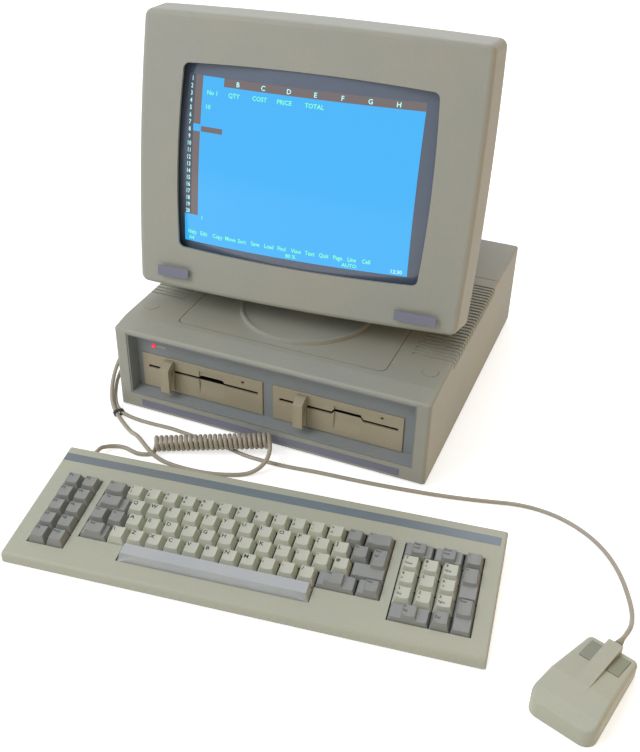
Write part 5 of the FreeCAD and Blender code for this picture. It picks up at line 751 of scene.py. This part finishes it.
for index, letter in enumerate("BCDEFGH"):
    write(("screen_letters", "monitor"), letter, -74.0 + 28.0 * index, 224.3, 5.0, on_glass, True)
for index in range(20):
    write(("screen_letters", "monitor"), str(index + 1), -127.2, 225.0 - 7.35 * index, 4.6,
          on_glass, True, 0.8)
for x, z, word in ((-109.0, 213.0, "No 1"), (-84.0, 213.0, "QTY"), (-110.0, 198.5, "10"),
                   (-57.0, 213.5, "COST"), (-30.0, 213.5, "PRICE"), (0.0, 213.5, "TOTAL"),
                   (-111.0, 80.0, "1")):
    write(("screen_words", "monitor"), word, x, z, 4.6, on_glass)
menu = ("Help", "Edit", "Copy", "Move", "Sort", "Save", "Load", "Find", "View", "Text", "Quit",
        "Page", "Line", "Cell")
for index, word in enumerate(menu):
    write(("screen_words", "monitor"), word, -127.0 + 15.4 * index, 62.0, 4.8, on_glass,
          squeeze=0.85)
for x, word in ((-126.0, "A4"), (-10.0, "80 %"), (52.0, "AUTO")):
    write(("screen_words", "monitor"), word, x, 55.4, 4.2, on_glass)
write(("screen_letters", "monitor"), "12:30", 103.0, 55.4, 4.2, on_glass)

# %% [markdown]
# Key legends are double shot: the letter is moulded through the cap in a dark
# plastic and never wears off. Each sits near the back left corner of the cap's
# hollow top. The keys stand a standard pitch of 19.05 mm apart along a row,
# and the rows 18.5 mm apart.

# %% Key legends
STEP, ROW_STEP, ROW = 19.05, 18.5, 101.4
BLOCKS = {"function": 18.0, "main": 63.9, "pad": 374.2}
CAP_TOP, HOLLOW, HOLLOW_DEEP = 7.2, 22.0, 0.9
FROM_LEFT, FROM_BACK, INK_LIFT = 4.2, 2.9, 0.09


def legend(group, body, block, column, row, words, height=3.6, wide=1.0, pitch=6.2, squeeze=1.0):
    """Words one under the other on a key, the first at the back left."""
    left = BLOCKS[block] + column * STEP
    centre = left + wide * STEP / 2
    back_edge = ROW - row * ROW_STEP + ROW_STEP / 2

    def surface(x, y):
        """A point of the cap's hollow top."""
        aside = min(20.0, abs(x - centre))
        hollow = max(0.0, HOLLOW_DEEP - HOLLOW + math.sqrt(HOLLOW ** 2 - aside ** 2))
        return deck @ (Vector((x, y, CAP_TOP - hollow + INK_LIFT)) / 1000)

    for index, word in enumerate(words):
        write((group, body), word, left + FROM_LEFT,
              back_edge - FROM_BACK - height - index * pitch, height, surface, squeeze=squeeze)


for index in range(10):
    legend("function_legends", "function_key_set", "function", index % 2, index // 2,
           [f"F{index + 1}"], 3.2)
for index, pair in enumerate(zip("1234567890-=", "!\"£$%^&*()_+")):
    legend("digit_legends", "digit_row_key_set", "main", 1.25 + index, 0, [pair[1], pair[0]], 3.3)
for row, part, start_column, letters in ((1, "upper_row", 1.75, "QWERTYUIOP[]"),
                                         (2, "home_row", 2.0, "ASDFGHJKL;'#"),
                                         (3, "lower_row", 1.5, "\\ZXCVBNM,./")):
    for index, letter in enumerate(letters):
        legend(part + "_legends", part + "_key_set", "main", start_column + index, row, [letter],
               4.4)
for index, words in enumerate((("7", "Home"), ("8", "\u2191"), ("9", "PgUp"), ("4", "\u2190"),
                               ("5",), ("6", "\u2192"), ("1", "End"), ("2", "\u2193"),
                               ("3", "PgDn"))):
    legend("pad_legends", "pad_digit_key_set", "pad", index % 3, 1 + index // 3, words[:1], 3.4)
    legend("pad_legends", "pad_digit_key_set", "pad", index % 3, 1.33 + index // 3, words[1:], 2.4,
           squeeze=0.85)
for block, column, row, words, height, wide in (
        ("main", 0, 0, ["Esc"], 2.4, 1.25), ("main", 13.25, 0, ["Del"], 2.2, 1),
        ("main", 14.25, 0, ["<--"], 2.4, 1.5), ("main", 0.1, 1, ["  Tab"], 2.4, 1.35),
        ("main", 13.75, 1, ["Prt", "*"], 2.2, 1), ("main", 0, 2, ["Ctrl"], 2.2, 1),
        ("main", 1, 2, ["Alt"], 2.2, 1), ("main", 0.1, 3, ["  Shift"], 2.2, 1.25),
        ("main", 12.75, 3, ["Shift"], 2.2, 1.25), ("main", 14.75, 3, ["Caps"], 2.2, 1),
        ("main", 14.75, 1.0, ["Enter"], 2.2, 1), ("main", 14.75, 1.3, ["\u21b5"], 3.4, 1),
        ("pad", 0.25, 0, ["Num", "Lock"], 2.4, 1), ("pad", 1.75, 0, ["Scroll", "Lock"], 2.4, 1),
        ("pad", 3, 0, ["-"], 3.4, 1), ("pad", 3, 1, ["+"], 3.4, 1),
        ("pad", 3, 3, ["Enter"], 2.4, 1), ("pad", 0.5, 4, ["0", "Ins"], 2.8, 1),
        ("pad", 2, 4, [".", "Del"], 2.8, 1)):
    legend("control_legends", "control_key_set", block, column, row, words, height, wide, 4.4, 0.9)

# %% [markdown]
# A small word is printed beside the power lamp on the recessed panel.

# %% Panel word


PANEL_RECESS, PRINT_LIFT = 15.0, 0.06


def on_panel(x, z):
    """A point just before the recessed panel."""
    return unit @ (Vector((x, PANEL_RECESS - PRINT_LIFT, z)) / 1000)


write(("panel_words", "system_unit"), "POWER", 45.6, 79.8, 2.4, on_panel)

# %% [markdown]
# The letters' inks: a dark grey for the keys, a pale one for the panel, and
# the two glowing colours of the screen.

# %% Inks
legend_ink = moulded("dark legend plastic", "#20252B", "#2B3036", 0.5, 0.02, 0.5, 10.0)
pale_ink = moulded("pale printed ink", "#B9BDBD", "#C6C9C6", 0.5, 0.01, 0.6, 10.0)
INKS = {"screen_letters": cyan_glow, "screen_words": green_glow, "panel_words": pale_ink}
for (group, body), (points, faces) in stores.items():
    ink = INKS.get(group, legend_ink)
    thing = mesh_piece(group, points, faces, ink)
    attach(thing, body)
print("lettering", {group: len(faces) for (group, body), (points, faces) in stores.items()})
